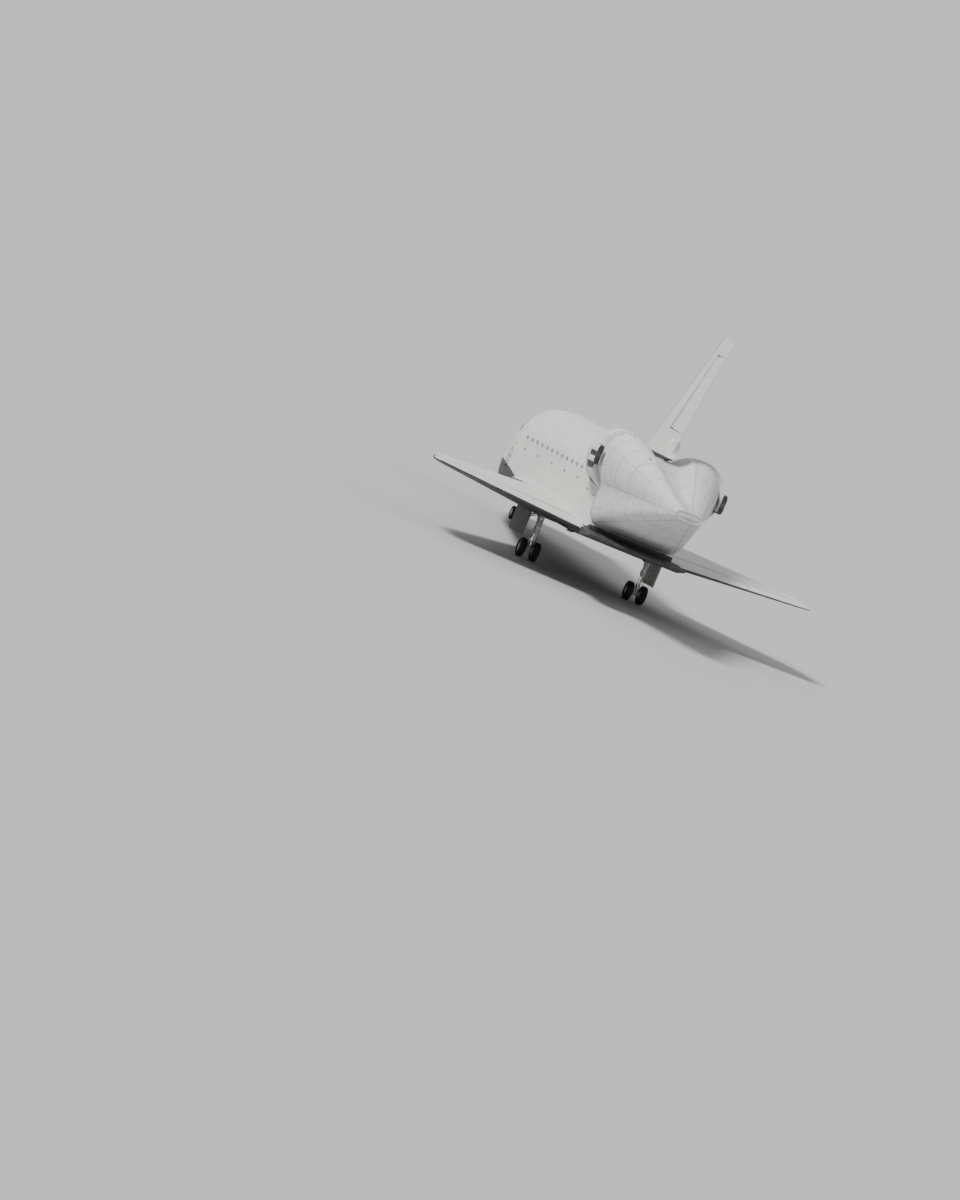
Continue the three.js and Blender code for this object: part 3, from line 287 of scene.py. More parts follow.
def weather_group():
    """Dirt in soft patches and in streaks that run aft."""
    tree, net, given, out = new_group(
        "Weathering", (("Place", "vector", None), ("Amount", "float", 0.5)),
        (("Dirt", "float"), ("Cloud", "float")))
    stretch = net.node("ShaderNodeMapping")
    net.put(stretch.inputs["Vector"], given.place)
    stretch.inputs["Scale"].default_value = (0.012, 0.09, 0.09)
    streak = net.noise(Signal(net, stretch.outputs[0]), 1.0, 4.0, 0.6)
    cloud = net.noise(given.place, 0.018, 4.0, 0.55)
    fine = net.noise(given.place, 0.16, 3.0, 0.6)
    heavy = streak.ranged(0.42, 0.75) * cloud.ranged(0.3, 0.7)
    light = fine.ranged(0.5, 0.8) * 0.35
    net.put(out["Dirt"], net.maths("MULTIPLY", heavy + light, given.amount, clamp=True))
    net.put(out["Cloud"], cloud)
    return tree


def rivet_group():
    """Panel seams with a row of small fasteners on each side of every seam."""
    tree, net, given, out = new_group(
        "Riveted seams",
        (("U", "float", 0.0), ("V", "float", 0.0), ("Panel u", "float", 45.0), ("Panel v", "float", 30.0),
         ("Spacing", "float", 2.6)),
        (("Seam", "float"), ("Rivet", "float"), ("Level", "float")))
    axes = ((given.u, given.panel_u), (given.v, given.panel_v))
    shares = [value / panel for value, panel in axes]
    reach = [panel * 0.5 - (share.maths("FRACT") - 0.5).maths("ABSOLUTE") * panel
             for share, (_, panel) in zip(shares, axes)]
    net.put(out["Seam"], net.maths("MINIMUM", *reach).ranged(0.1, 0.3, 1.0, 0.0))
    dots = []
    for distance, along in zip(reach, (given.v, given.u)):
        aside = ((along / given.spacing).maths("FRACT") - 0.5) * given.spacing
        apart = distance - 1.3
        far = (aside * aside + apart * apart).maths("SQRT")
        dots.append(far.ranged(0.22, 0.36, 1.0, 0.0))
    net.put(out["Rivet"], net.maths("MAXIMUM", *dots))
    net.put(out["Level"], net.chance(*shares))
    return tree


def finish_of(name, roughness=0.5, metallic=0.0, **constants):
    """A new material's net and shader, with constants set on the shader's own sockets."""
    material = bpy.data.materials.new(name)
    material.use_nodes = True
    FINISHES[name] = material
    shader = material.node_tree.nodes["Principled BSDF"]
    shader.location = (2300, 0)
    material.node_tree.nodes["Material Output"].location = (2600, 0)
    for title, value in {"Roughness": roughness, "Metallic": metallic, **constants}.items():
        shader.inputs[title.replace("_", " ")].default_value = value
    return Net(material.node_tree), shader


def worn_finish(name, dirt=0.8, **settings):
    """A new material's net and shader, with the vehicle's place and weathering."""
    net, shader = finish_of(name, **settings)
    spot = net.group("place")
    return net, shader, spot, net.group("weather", place=spot.place, amount=dirt)


def coat(net, shader, colour, rough, relief=None, depth=0.0, strength=1.0):
    """Gives the shader its colour and roughness, and a bump from a relief with a depth in inches."""
    net.put(shader.inputs["Base Color"], colour)
    net.put(shader.inputs["Roughness"], rough)
    if relief:
        made = net.node("ShaderNodeBump")
        made.inputs["Strength"].default_value = strength
        made.inputs["Distance"].default_value = depth * INCH
        net.put(made.inputs["Height"], relief)
        net.put(shader.inputs["Normal"], Signal(net, made.outputs["Normal"]))


# Skins

WORN_BLACK = (0.075, 0.074, 0.073)
BLACK_GROUT = (0.15, 0.148, 0.142)
LINER = (0.62, 0.63, 0.60)


def insulated(name, v, black, white_tiles, inner, dirt=1.0):
    """Heat insulation: black tiles, white tiles and white stitched blankets, with plain lining inside.

    v is the distance round the surface in inches; black, white_tiles and inner are masks. Each is a
    function of the vehicle's place.
    """
    paint = bpy.context.scene.orbiter_paint
    net, shader, spot, weather = worn_finish(name, dirt * paint.dirt, roughness=0.8, Specular_IOR_Level=0.35)
    around, dark, tiled, lining = v(spot), black(spot), white_tiles(spot), inner(spot)
    small, large, sheet = (net.group("tiles", u=spot.station, v=around, size=size, gap=gap)
                           for size, gap in ((6.0, 0.028), (8.0, 0.02), (30.0, 0.006)))
    quilt = net.group("quilt", u=spot.station, v=around, pitch=1.6)

    grimy = net.mix(weather.dirt, paint.white, paint.aged)
    blanket = net.mix(sheet.level * 0.34, grimy, (0.60, 0.595, 0.58))
    blanket = net.mix(sheet.gap * 0.75, blanket, (0.30, 0.29, 0.27))
    tiles = net.mix(large.level.ranged(0.72, 0.8) * 0.3, grimy, (0.46, 0.455, 0.44))
    tiles = net.mix(large.gap * 0.65, tiles, (0.24, 0.235, 0.22))
    aged = (small.level * 0.6 + weather.cloud).ranged(0.55, 1.2)
    coal = net.mix(small.gap * 0.6, net.mix(aged, paint.black, WORN_BLACK), BLACK_GROUT)
    outside = net.mix(dark, net.mix(tiled, blanket, tiles), coal)
    inside = net.mix(sheet.level * 0.25, LINER, (0.47, 0.49, 0.46))
    rough = weather.cloud.ranged(0.3, 0.7, 0.72, 0.9) - dark * 0.22
    soft = quilt.relief * 0.35 - sheet.gap * 0.8
    pale = soft * (1.0 - tiled) + large.relief * tiled
    relief = pale * (1.0 - dark) + small.relief * dark
    coat(net, shader, net.mix(lining, outside, inside), rough, relief, 0.12, 0.8)


# Height on the side of the hull under which it is black, by station.
BLACK_LINE = (
    (255, 430), (268, 428), (278, 398), (292, 372), (320, 352), (360, 344), (420, 341), (480, 338),
    (560, 330), (640, 318), (760, 306), (1000, 298), (1300, 298), (1480, 296), (1494, 300), (1511, 304),
)


def hull_v(spot):
    """Distance round the hull: an arc over the top, straight down the side, then in across the bottom."""
    shoulder, apart = 104, 400
    rise = spot.height - HULL_MIDDLE
    over = rise.maths("ARCTAN2", spot.across).maths("MAXIMUM", 0) * shoulder
    under = spot.height.below(BELLY, 2)
    return over + rise.maths("MINIMUM", 0) + under * (spot.across + apart)


def hull_black(spot):
    """The hull's underside, and the band round the cabin's windows."""
    low = spot.height.below(spot.station.table(BLACK_LINE), 0.8)
    bend = spot.across * spot.across
    cabin = spot.station.above(bend * 0.0036 + 434) & spot.station.below(bend * 0.0030 + 470)
    return low | cabin & spot.height.above(418, 2)


def hull_tiled(spot):
    return spot.station.below(578)


def hull_inner(spot):
    """The cargo bay's lining, and the inside of the nose gear's well."""
    out, up = spot.across / 101.5, (spot.height - HULL_MIDDLE) / 99
    bay = spot.station.within(580, 1308.5) & (out * out + up * up).maths("SQRT").below(1, 0.004)
    well = spot.station.within(293.6, 376.4) & spot.across.below(22.4, 0.1) & spot.height.below(338.6, 0.2)
    return bay | well


def nothing(spot):
    """A mask that is 0 everywhere."""
    return spot.station * 0.0


def edge_distance(spot):
    """How far a point lies in from the wing's front edge, square to it."""
    swept = (spot.station - (spot.across + 836)) * 0.7071
    glove = (spot.station - (1026 - (190 - spot.across) * 6.314)) * 0.1564
    return swept.maths("MAXIMUM", glove)


def wing_v(spot):
    return spot.across


def wing_black(spot):
    """The wing's underside, its front edge and the elevons' rear edge."""
    under = spot.height.below(spot.across * WING_RISE + (WING_PLANE - 0.2), 0.3)
    rear = spot.station.above(1519 - spot.across * 0.1773)
    return under | edge_distance(spot).below(20, 0.4) | rear


def wing_tiled(spot):
    return edge_distance(spot).below(44, 0.5) | spot.station.above(1372)


def wing_inner(spot):
    """The inside of a main gear's well."""
    return (spot.station.within(1033.6, 1194.4) & spot.across.within(106.6, 167.4)
            & spot.height.below(314.6, 0.3) & spot.height.above(264, 2))


def fin_v(spot):
    return spot.height


def fin_black(spot):
    """The fin's front edge and foot."""
    front = spot.height.maths("MAXIMUM", 524) + (FIN["lead"] + 8)
    return spot.station.below(front, 0.5) | spot.height.below(512)


def fin_tiled(spot):
    return spot.height.above(775) | spot.station.below(spot.height + 800)


def pod_v(spot):
    """Distance round a pod, from its middle."""
    return (spot.height - 462).maths("ARCTAN2", spot.across - 92) * 70


def pod_black(spot):
    """The back, bottom and port strip of the side housing, and the pod's own front rim and foot."""
    strip = (spot.across.above(160) & spot.height.above(452.5) & spot.height.below(465.5)
             & spot.station.above(1486))
    faces = spot.station.above(1544) | spot.height.below(440) | strip
    housing = spot.across.above(150.5) & spot.station.above(1456) & faces
    rim = spot.station.below(1326) & spot.height.below(470)
    foot = spot.height.below(402) & spot.station.below(1470)
    return housing | rim | foot


def pod_tiled(spot):
    return spot.station.below(1345) | spot.station.above(1490)


def all_black(spot):
    return spot.station.above(0)


def insulated_finishes():
    """The five skins of insulation."""
    insulated("hull_skin", hull_v, hull_black, hull_tiled, hull_inner)
    insulated("wing_skin", wing_v, wing_black, wing_tiled, wing_inner)
    insulated("fin_skin", fin_v, fin_black, fin_tiled, nothing, dirt=0.9)
    insulated("pod_skin", pod_v, pod_black, pod_tiled, nothing, dirt=1.2)
    insulated("flap_skin", wing_v, all_black, nothing, nothing)


# Other materials


def carbon_edge():
    """Grey carbon in panels, with dark joints between them."""
    net, shader, spot, weather = worn_finish("carbon_edge")
    panels = net.group("tiles", u=spot.across, v=0.0, size=15.5, gap=0.012)
    grey = net.mix(panels.level, (0.095, 0.098, 0.105), (0.145, 0.148, 0.155))
    grey = net.mix(weather.dirt * 0.5, grey, (0.26, 0.25, 0.235))
    grey = net.mix(panels.gap * 0.8, grey, (0.025, 0.025, 0.027))
    coat(net, shader, grey, weather.cloud.ranged(0.3, 0.7, 0.38, 0.6), panels.relief, 0.15, 0.7)


def nose_carbon():
    """Grey carbon in one piece, with a fine grain."""
    net, shader, spot, weather = worn_finish("nose_carbon")
    grain = net.noise(spot.place, 1.1, 4.0, 0.7)
    grey = net.mix(weather.cloud, (0.12, 0.124, 0.13), (0.19, 0.192, 0.197))
    grey = net.mix(weather.dirt * 0.6, grey, (0.30, 0.29, 0.27))
    coat(net, shader, grey, grain.ranged(0.3, 0.7, 0.36, 0.55), grain, 0.02, 0.4)


def cone_paint():
    """The tail cone's paint, with riveted seams along it."""
    paint = bpy.context.scene.orbiter_paint
    net, shader, spot, weather = worn_finish("cone_paint", 0.7, Coat_Weight=0.12)
    around = (spot.height - 408).maths("ARCTAN2", spot.left) * 76.4
    seams = net.group("rivets", u=spot.station, v=around, panel_u=2000.0, panel_v=40.0, spacing=3.0)
    grey = net.mix(seams.level * 0.35, paint.cone, Vector(paint.cone) * 0.86)
    grey = net.mix(weather.dirt, grey, (0.40, 0.395, 0.38))
    grey = net.mix(seams.seam * 0.8, grey, (0.17, 0.17, 0.17))
    grey = net.mix(seams.rivet * 0.45, grey, (0.25, 0.25, 0.25))
    coat(net, shader, grey, weather.cloud.ranged(0.3, 0.7, 0.34, 0.55), seams.rivet - seams.seam, 0.05, 0.6)


# Plain materials: light and dark colour, range of roughness, metal share and grain scale.
PLAIN = {
    "bare_metal": ((0.50, 0.50, 0.49), (0.33, 0.33, 0.34), (0.28, 0.5), 0.9, 0.35),
    "engine_alloy": ((0.40, 0.385, 0.37), (0.24, 0.23, 0.225), (0.35, 0.6), 0.8, 0.08),
    "gear_paint": ((0.72, 0.73, 0.72), (0.50, 0.49, 0.46), (0.25, 0.5), 0.0, 0.22),
    "gear_chrome": ((0.74, 0.75, 0.77), (0.60, 0.61, 0.63), (0.08, 0.22), 1.0, 0.9),
    "cabin_trim": ((0.20, 0.205, 0.20), (0.13, 0.135, 0.135), (0.6, 0.8), 0.0, 0.5),
    "seat_fabric": ((0.075, 0.09, 0.12), (0.045, 0.052, 0.07), (0.8, 0.95), 0.0, 2.2),
    "black_trim": ((0.030, 0.030, 0.032), (0.055, 0.054, 0.053), (0.45, 0.7), 0.0, 0.5),
    "port_shadow": ((0.012, 0.012, 0.013), (0.028, 0.026, 0.024), (0.6, 0.85), 0.0, 0.8),
    "rubber_hose": ((0.035, 0.035, 0.036), (0.06, 0.058, 0.055), (0.5, 0.7), 0.0, 1.4),
    "white_seal": ((0.66, 0.655, 0.63), (0.57, 0.56, 0.535), (0.6, 0.8), 0.0, 0.2),
    "window_rim": ((0.10, 0.10, 0.105), (0.20, 0.20, 0.20), (0.4, 0.6), 0.0, 0.6),
    "bay_primer": ((0.42, 0.47, 0.38), (0.33, 0.36, 0.30), (0.5, 0.7), 0.0, 0.12),
    "cone_trim": ((0.46, 0.468, 0.474), (0.36, 0.362, 0.36), (0.35, 0.55), 0.0, 0.05),
}


def plain(name, light, dark, rough, metal, scale):
    """A material with soft wear and a fine grain."""
    net, shader = finish_of(name, roughness=rough[0], metallic=metal)
    place = net.group("place").place
    grain = net.noise(place, scale, 5.0, 0.62)
    fine = net.noise(place, scale * 9, 2.0, 0.5)
    coat(net, shader, net.mix(grain.ranged(0.4, 0.68), light, dark), grain.ranged(0.3, 0.7, *rough),
         fine, 0.025, 0.35)


def tyre_rubber():
    """Dusty black rubber."""
    net, shader = finish_of("tyre_rubber", roughness=0.85, Specular_IOR_Level=0.3)
    place = net.group("place").place
    dust = net.noise(place, 0.3, 5.0, 0.65)
    fine = net.noise(place, 3.0, 2.0, 0.6)
    colour = net.mix(dust.ranged(0.42, 0.8), (0.020, 0.020, 0.021), (0.052, 0.050, 0.046))
    coat(net, shader, colour, dust.ranged(0.3, 0.7, 0.72, 0.95), fine, 0.04, 0.5)


def radiator_foil():
    """Silver foil in strips and panels."""
    net, shader = finish_of("radiator_foil", roughness=0.16, metallic=0.95)
    spot = net.group("place")
    strips, panels = (net.group("tiles", u=spot.station, v=spot.across, size=size, gap=gap)
                      for size, gap in ((8.0, 0.02), (60.0, 0.006)))
    foil = net.mix(strips.level, (0.80, 0.82, 0.83), (0.70, 0.73, 0.76))
    foil = net.mix((strips.gap | panels.gap) * 0.7, foil, (0.28, 0.29, 0.30))
    rough = strips.level.ranged(0.0, 1.0, 0.12, 0.24)
    coat(net, shader, foil, rough, strips.relief + panels.relief, 0.05, 0.5)


def window_pane():
    """Dark glass with a little haze."""
    net, shader = finish_of("window_pane", roughness=0.04, Transmission_Weight=0.72, IOR=1.46)
    haze = net.noise(net.group("place").place, 0.25, 4.0, 0.6)
    colour = net.mix(haze.ranged(0.35, 0.75), (0.10, 0.125, 0.14), (0.16, 0.18, 0.185))
    coat(net, shader, colour, haze.ranged(0.35, 0.75, 0.03, 0.12))


def gear_door():
    """Black tiles outside, and paint inside."""
    net, shader, spot, weather = worn_finish("gear_door", roughness=0.7, Specular_IOR_Level=0.35)
    tiles = net.group("tiles", u=spot.station, v=spot.height, size=6.0, gap=0.03)
    outer = spot.across.within(165.6, 168.5) | spot.across.within(21.2, 23.0)
    coal = net.mix(tiles.level, bpy.context.scene.orbiter_paint.black, (0.055, 0.055, 0.056))
    coal = net.mix(tiles.gap * 0.6, coal, BLACK_GROUT)
    inner = net.mix(weather.dirt, (0.60, 0.61, 0.58), (0.36, 0.36, 0.33))
    coat(net, shader, net.mix(outer, inner, coal), weather.cloud.ranged(0.3, 0.7, 0.55, 0.75),
         tiles.relief * outer, 0.12, 0.8)


def other_finishes():
    """All the materials that aren't insulation."""
    carbon_edge()
    nose_carbon()
    cone_paint()
    for name, row in PLAIN.items():
        plain(name, *row)
    tyre_rubber()
    radiator_foil()
    window_pane()
    gear_door()


# Shapes

SINK = 0.06  # how far under a surface a piece laid on it starts
INNER_RING = 0.4
SURFACES = {}


def surface(*names):
    """The solids of some nodes, for rays to fall on."""
    if names not in SURFACES:
        points, faces = [], []
        for name in names:
            mesh = NODES[name].data
            start = len(points)
            points += [vertex.co.copy() for vertex in mesh.vertices]
            faces += [[start + i for i in polygon.vertices] for polygon in mesh.polygons]
        SURFACES[names] = BVHTree.FromPolygons(points, faces)
    return SURFACES[names]


def cast(tree, start, towards):
    """Where a ray from outside meets a surface, with the outward normal there."""
    place, normal, _, _ = tree.ray_cast(start, towards)
    if place is None:
        raise RuntimeError(f"no surface from {tuple(start)} towards {tuple(towards)}")
    return place, -normal if normal.dot(towards) > 0 else normal


def upright(direction):
    """The turn that points Z along a direction."""
    return direction.to_track_quat("Z", "Y").to_matrix().to_4x4()


def standing(station, left, height, aim=None):
    """Inches to metres at a place: X forward, Y left and Z up, or Z along an aim given as (aft, left, up)."""
    turn = upright(way(*aim)) if aim else TURN.to_4x4()
    return Matrix.Translation(at(station, left, height)) @ turn @ Matrix.Scale(INCH, 4)


def moved(shape, matrix):
    bmesh.ops.transform(shape, matrix=matrix, verts=shape.verts)
    return shape


def outwards(shape, apart=1e-5):
    """Merges doubles and points the faces out."""
    bmesh.ops.remove_doubles(shape, verts=shape.verts, dist=apart)
    bmesh.ops.recalc_face_normals(shape, faces=shape.faces)
    return shape


def verts_of(made):
    """The vertices that an extrusion made."""
    return [item for item in made["geom"] if isinstance(item, bmesh.types.BMVert)]


def soften(shape, width, least=50):
    """Bevels the edges that turn by more than an angle."""
    shape.normal_update()
    turn = math.radians(least)
    edges = [edge for edge in shape.edges if edge.is_manifold and edge.calc_face_angle() > turn]
    bmesh.ops.bevel(shape, geom=edges, offset=width, segments=1, affect="EDGES", profile=0.5, material=-1)


def spun(rows, steps=32, closed=False):
    """Turns rows of (radius, height) about Z, in inches. A closed outline joins its last row to its first."""
    shape = bmesh.new()
    points = [shape.verts.new((radius, 0, height)) for radius, height in rows]
    for first, last in zip(points, points[1:] + (points[:1] if closed else [])):
        shape.edges.new((first, last))
    bmesh.ops.spin(shape, geom=shape.verts[:] + shape.edges[:], cent=(0, 0, 0), axis=(0, 0, 1),
                   dvec=(0, 0, 0), steps=steps, angle=math.tau, use_merge=True)
    return outwards(shape, 1e-4)


def rod(start, end, radius, end_radius=None, sides=14):
    """A round bar between two places of the vehicle, with softened ends."""
    first, last = at(*start), at(*end)
    length = (last - first).length
    shape = bmesh.new()
    bmesh.ops.create_cone(shape, cap_ends=True, segments=sides, radius1=radius * INCH,
                          radius2=(end_radius or radius) * INCH, depth=length)
    soften(shape, min(radius * 0.18 * INCH, length * 0.2))
    return moved(shape, Matrix.Translation((first + last) / 2) @ upright(last - first))


def pipe(points, radius, sides=8):
    """A bent pipe: bars with a ball at each bend."""
    shape = bmesh.new()
    for first, last in zip(points, points[1:]):
        append(shape, rod(first, last, radius, sides=sides))
    for point in points[1:-1]:
        ball = bmesh.new()
        bmesh.ops.create_icosphere(ball, subdivisions=1, radius=radius * 1.04 * INCH)
        append(shape, moved(ball, Matrix.Translation(at(*point))))
    return shape


def block(size, place, edge=0.12):
    """A softened block of a size in inches: forward, left and up."""
    shape = bmesh.new()
    bmesh.ops.create_cube(shape, size=1)
    bmesh.ops.scale(shape, vec=size, verts=shape.verts)
    soften(shape, min(edge, min(size) * 0.3))
    return moved(shape, standing(*place))


def stud(place, normal, radius, height):
    """A six-sided bolt head on a surface, with its sizes in inches."""
    shape = bmesh.new()
    bmesh.ops.create_cone(shape, cap_ends=True, segments=6, radius1=radius * INCH,
                          radius2=radius * 0.8 * INCH, depth=height * INCH)
    return moved(shape, Matrix.Translation(place + normal * height * 0.4 * INCH) @ upright(normal))


def append(shape, part, number=0):
    """Adds one bmesh to another, with a material number for its faces where one is given."""
    if number:
        for face in part.faces:
            face.material_index = number
    holder = bpy.data.meshes.new("holder")
    part.to_mesh(holder)
    part.free()
    shape.from_mesh(holder)
    bpy.data.meshes.remove(holder)


def lie(shape, tree, ray, thick, edge=0.0):
    """Drops a flat shape on a surface, point by point, and raises it by its thickness in inches.

    ray turns a point's X and Y, which run from -0.5 to 0.5, into a start and a direction.
    """
    out = shape.verts.layers.float_vector.new("out")
    for vertex in shape.verts:
        place, normal = cast(tree, *ray(vertex.co.x, vertex.co.y))
        vertex[out] = normal
        vertex.co = place - normal * SINK * INCH
    bmesh.ops.remove_doubles(shape, verts=shape.verts, dist=1e-5)
    for vertex in verts_of(bmesh.ops.extrude_face_region(shape, geom=shape.faces[:])):
        vertex.co += vertex[out] * (thick + SINK) * INCH
    bmesh.ops.recalc_face_normals(shape, faces=shape.faces)
    if edge:
        soften(shape, edge * INCH, least=60)
    shape.verts.layers.float_vector.remove(shape.verts.layers.float_vector["out"])
    return shape


def grid(columns, rows=1):
    shape = bmesh.new()
    bmesh.ops.create_grid(shape, x_segments=columns, y_segments=rows, size=0.5)
    return shape


def ring_sheet(steps=36):
    """A flat ring from radius INNER_RING to 0.5."""
    shape = bmesh.new()
    bmesh.ops.create_circle(shape, cap_ends=False, radius=INNER_RING, segments=steps)
    for vertex in verts_of(bmesh.ops.extrude_edge_only(shape, edges=shape.edges[:])):
        vertex.co *= 0.5 / INNER_RING
    return shape


def turned(degrees):
    """The left and up parts of a direction at an angle counted up from the left."""
    return math.cos(math.radians(degrees)), math.sin(math.radians(degrees))


def spread(first, last, count):
    """Evenly spaced values from first to last."""
    return [first + (last - first) * k / (count - 1) for k in range(count)]


def circle(count, wide, high=None, offset=0.0):
    """Points evenly round a circle or an oval, as (x, y)."""
    for k in range(count):
        angle = math.tau * (k + offset) / count
        yield wide * math.cos(angle), (high or wide) * math.sin(angle)


# Rays

FAR = 240  # from how far outside the middle a ray starts


def frame_ray(middle, normal, across, width, height, rim, power=6):
    """The rays of a rounded frame about a point: its opening's width and height, and its rim, in inches.

    A power of 2 makes it round, and a higher one squarer.
    """
    up = normal.cross(across).normalized()

    def ray(x, y):
        far = math.hypot(x, y)
        side, rise = x / far, y / far
        reach = rim * (far - INNER_RING) / (0.5 - INNER_RING)
        wide, high = width / 2 + reach, height / 2 + reach
        out = ((abs(side) / wide) ** power + (abs(rise) / high) ** power) ** (-1 / power)
        return middle + (across * side * out + up * rise * out + normal * 12) * INCH, -normal

    return ray


def polar_ray(station, middle, angle):
    """A ray from outside towards a middle (left, height)."""
    side, up = turned(angle)
    return at(station, middle[0] + side * FAR, middle[1] + up * FAR), way(0, -side, -up)


def bay_ray(station, angle):
    """A ray from the cargo bay's middle outwards."""
    return at(station, 0, HULL_MIDDLE), way(0, *turned(angle))


def arc(aim, station, width, angles):
    """Rays of a strip round the vehicle, over a range of angles. aim makes one ray."""
    low, high = angles
    return lambda x, y: aim(station + y * width, low + (x + 0.5) * (high - low))


def run(aim, stations, width, angle):
    """Rays of a strip along the vehicle at one angle, with its width in degrees. aim makes one ray."""
    first, last = stations
    return lambda x, y: aim(first + (x + 0.5) * (last - first), angle + y * width)


def straight(first, last, wide, towards):
    """Rays of a strip from one place to another, in one direction, with its width as (aft, left, up)."""
    def ray(x, y):
        return at(*(a + (b - a) * (x + 0.5) + w * y for a, b, w in zip(first, last, wide))), way(*towards)

    return ray


def framed(tree, start, aim, size, rim, thick):
    """A raised rounded frame where a ray from a place meets a surface, and that place, normal and across."""
    place, normal = cast(tree, at(*start), way(*aim))
    across = (way(1, 0, 0) - normal * way(1, 0, 0).dot(normal)).normalized()
    ring = lie(ring_sheet(), tree, frame_ray(place, normal, across, *size, rim), thick, edge=thick * 0.3)
    return ring, place, normal, across


def band(tree, station, width, middle, angles, thick, columns, edge=0.0):
    """A strap across a surface at a station, over a range of angles."""
    def aim(place, angle):
        return polar_ray(place, middle, angle)

    return lie(grid(columns), tree, arc(aim, station, width, angles), thick, edge)


def strap_along(tree, stations, angle, middle_at, width, thick):
    """A strap that runs aft at one angle, with its width in inches."""
    first, last = stations
    side, up = turned(angle)

    def ray(x, y):
        station = first + (x + 0.5) * (last - first)
        left, height = middle_at(station)
        aside = y * width
        start = at(station, left + side * FAR - up * aside, height + up * FAR + side * aside)
        return start, way(0, -side, -up)

    return lie(grid(24, 4), tree, ray, thick)


def finished(name, shape, finishes, body, sharp=32):
    """A piece of a finished bmesh, smooth but for its sharp edges, that rides on a body."""
    mesh = bpy.data.meshes.new(name)
    shape.to_mesh(mesh)
    shape.free()
    for title in finishes:
        mesh.materials.append(FINISHES[title])
    mesh.shade_smooth()
    mesh.set_sharp_from_angle(angle=math.radians(sharp))
    piece = bpy.data.objects.new(name, mesh)
    bpy.context.scene.collection.objects.link(piece)
    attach(piece, body)
    return piece


def skin(node, finishes, body="airframe", change=None):
    """A merged copy of a solid with smooth shading, in place of its loose triangles."""
    shape = bmesh.new()
    shape.from_mesh(NODES[node].data)
    outwards(shape)
    bmesh.ops.dissolve_limit(shape, angle_limit=math.radians(0.6), verts=shape.verts, edges=shape.edges)
    if change:
        change(shape)
    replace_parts(finished(f"{node}_skin", shape, finishes, body), node)


# Cabin

# Where the cabin's windows are on each side: station, and how far out.
WINDOWS = ((452, 15), (455, 45), (468, 75), (521, 19))
HATCH = (506, 352)  # the crew hatch's middle: station and height
DECK = 402.2  # height of the flight deck's floor
PANEL_WIDE = 72


def window_opening(hull, station, left):
    """The middle of a window's opening, its way out, and its width and height, from its four walls."""
    pane, facing = cast(surface("cabin_glazing"), at(station, left, 600), way(0, 0, -1))
    middle = pane + facing * INCH
    across = way(0, 0, 1).cross(facing).normalized()
    walls, sizes = [], []
    for towards in (across, facing.cross(across)):
        near, wall = cast(hull, middle, -towards)
        far, _ = cast(hull, middle, towards)
        middle = middle + wall * ((near + far) / 2 - middle).dot(wall)
        walls.append(wall)
        sizes.append((far - near).dot(wall) / INCH)
    return middle, walls[0].cross(walls[1]), *sizes


def window_frames(rim, thick):
    """Metal retainers round the cabin's windows."""
    hull = surface("forward_fuselage")
    shape = bmesh.new()
    for station, out in WINDOWS:
        for _, sign in SIDES:
            middle, normal, wide, high = window_opening(hull, station, out * sign)
            across = way(0, 0, 1).cross(normal).normalized()
            ray = frame_ray(middle, normal, across, wide + 0.7, high + 0.7, rim, 7)
            append(shape, lie(ring_sheet(80), hull, ray, thick, edge=0.1))
    finished("window_frames", shape, ["window_rim"], "airframe")


def hatch_fittings():
    """The seal on the hull round the crew hatch, and the hatch's own window, handle and latches."""
    station, height = HATCH
    door = surface("crew_hatch")

    def ring(tree, steps, wide, rim, thick, edge=0.0):
        ray = frame_ray(at(station, 105, height), way(0, 1, 0), way(1, 0, 0), wide, wide, rim, 2)
        return lie(ring_sheet(steps), tree, ray, thick, edge)

    seal = ring(surface("forward_fuselage"), 64, 41.6, 1.6, 0.3, 0.08)
    finished("hatch_seal", seal, ["black_trim"], "airframe")

    shape = ring(door, 40, 10.6, 1.5, 0.4, 0.1)
    append(shape, ring(door, 64, 35.6, 0.7, 0.12))
    for aside, up in circle(12, 15.6, offset=0.5):
        latch = cast(door, at(station + aside, 150, height + up), way(0, -1, 0))
        append(shape, stud(*latch, 0.7, 0.35))
    handle = [(station + aside, left, height - 10)
              for aside, left in ((-4, 104.4), (-4, 106.4), (4, 106.4), (4, 104.4))]
    append(shape, pipe(handle, 0.45), 1)
    finished("hatch_trim", shape, ["window_rim", "bare_metal"], "crew_hatch")
    pane = spun(((0, -0.4), (5.1, -0.4), (5.1, 0.3), (0, 0.3)))
    moved(pane, standing(station, 102.6, height, aim=(0, 1, 0)))
    finished("hatch_pane", pane, ["window_pane"], "crew_hatch")


def seats():
    """Each crew seat: a frame with padded cushions on it."""
    for side, sign in SIDES:
        left = 26 * sign
        shape = bmesh.new()
        for post in (left - 7.5, left + 7.5):
            append(shape, rod((482, post, DECK), (482, post, 413), 0.7))
            append(shape, rod((499, post, DECK), (501, post, 452), 0.7))
        for height in (412.6, 430, 446):
            append(shape, rod((499.5, left - 7.5, height), (499.5, left + 7.5, height), 0.5))
        append(shape, block((19, 16.5, 1.2), (490.5, left, 412.6)))
        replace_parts(finished(f"seat_frame_{side}", shape, ["cabin_trim"], "airframe"),
                    f"crew_seat_{side}")
        for part, size, place in (
            ("cushion", (18.5, 17.4, 4.6), (490, left, 415.5)),
            ("back", (3.6, 17.2, 27), (497.4, left, 430.5)),
            ("headrest", (2.8, 9.4, 9.5), (498, left, 448.6)),
        ):
            pad = moved(cushion(size), standing(*place))
            piece = finished(f"seat_{part}_{side}", pad, ["seat_fabric"], "airframe", sharp=80)


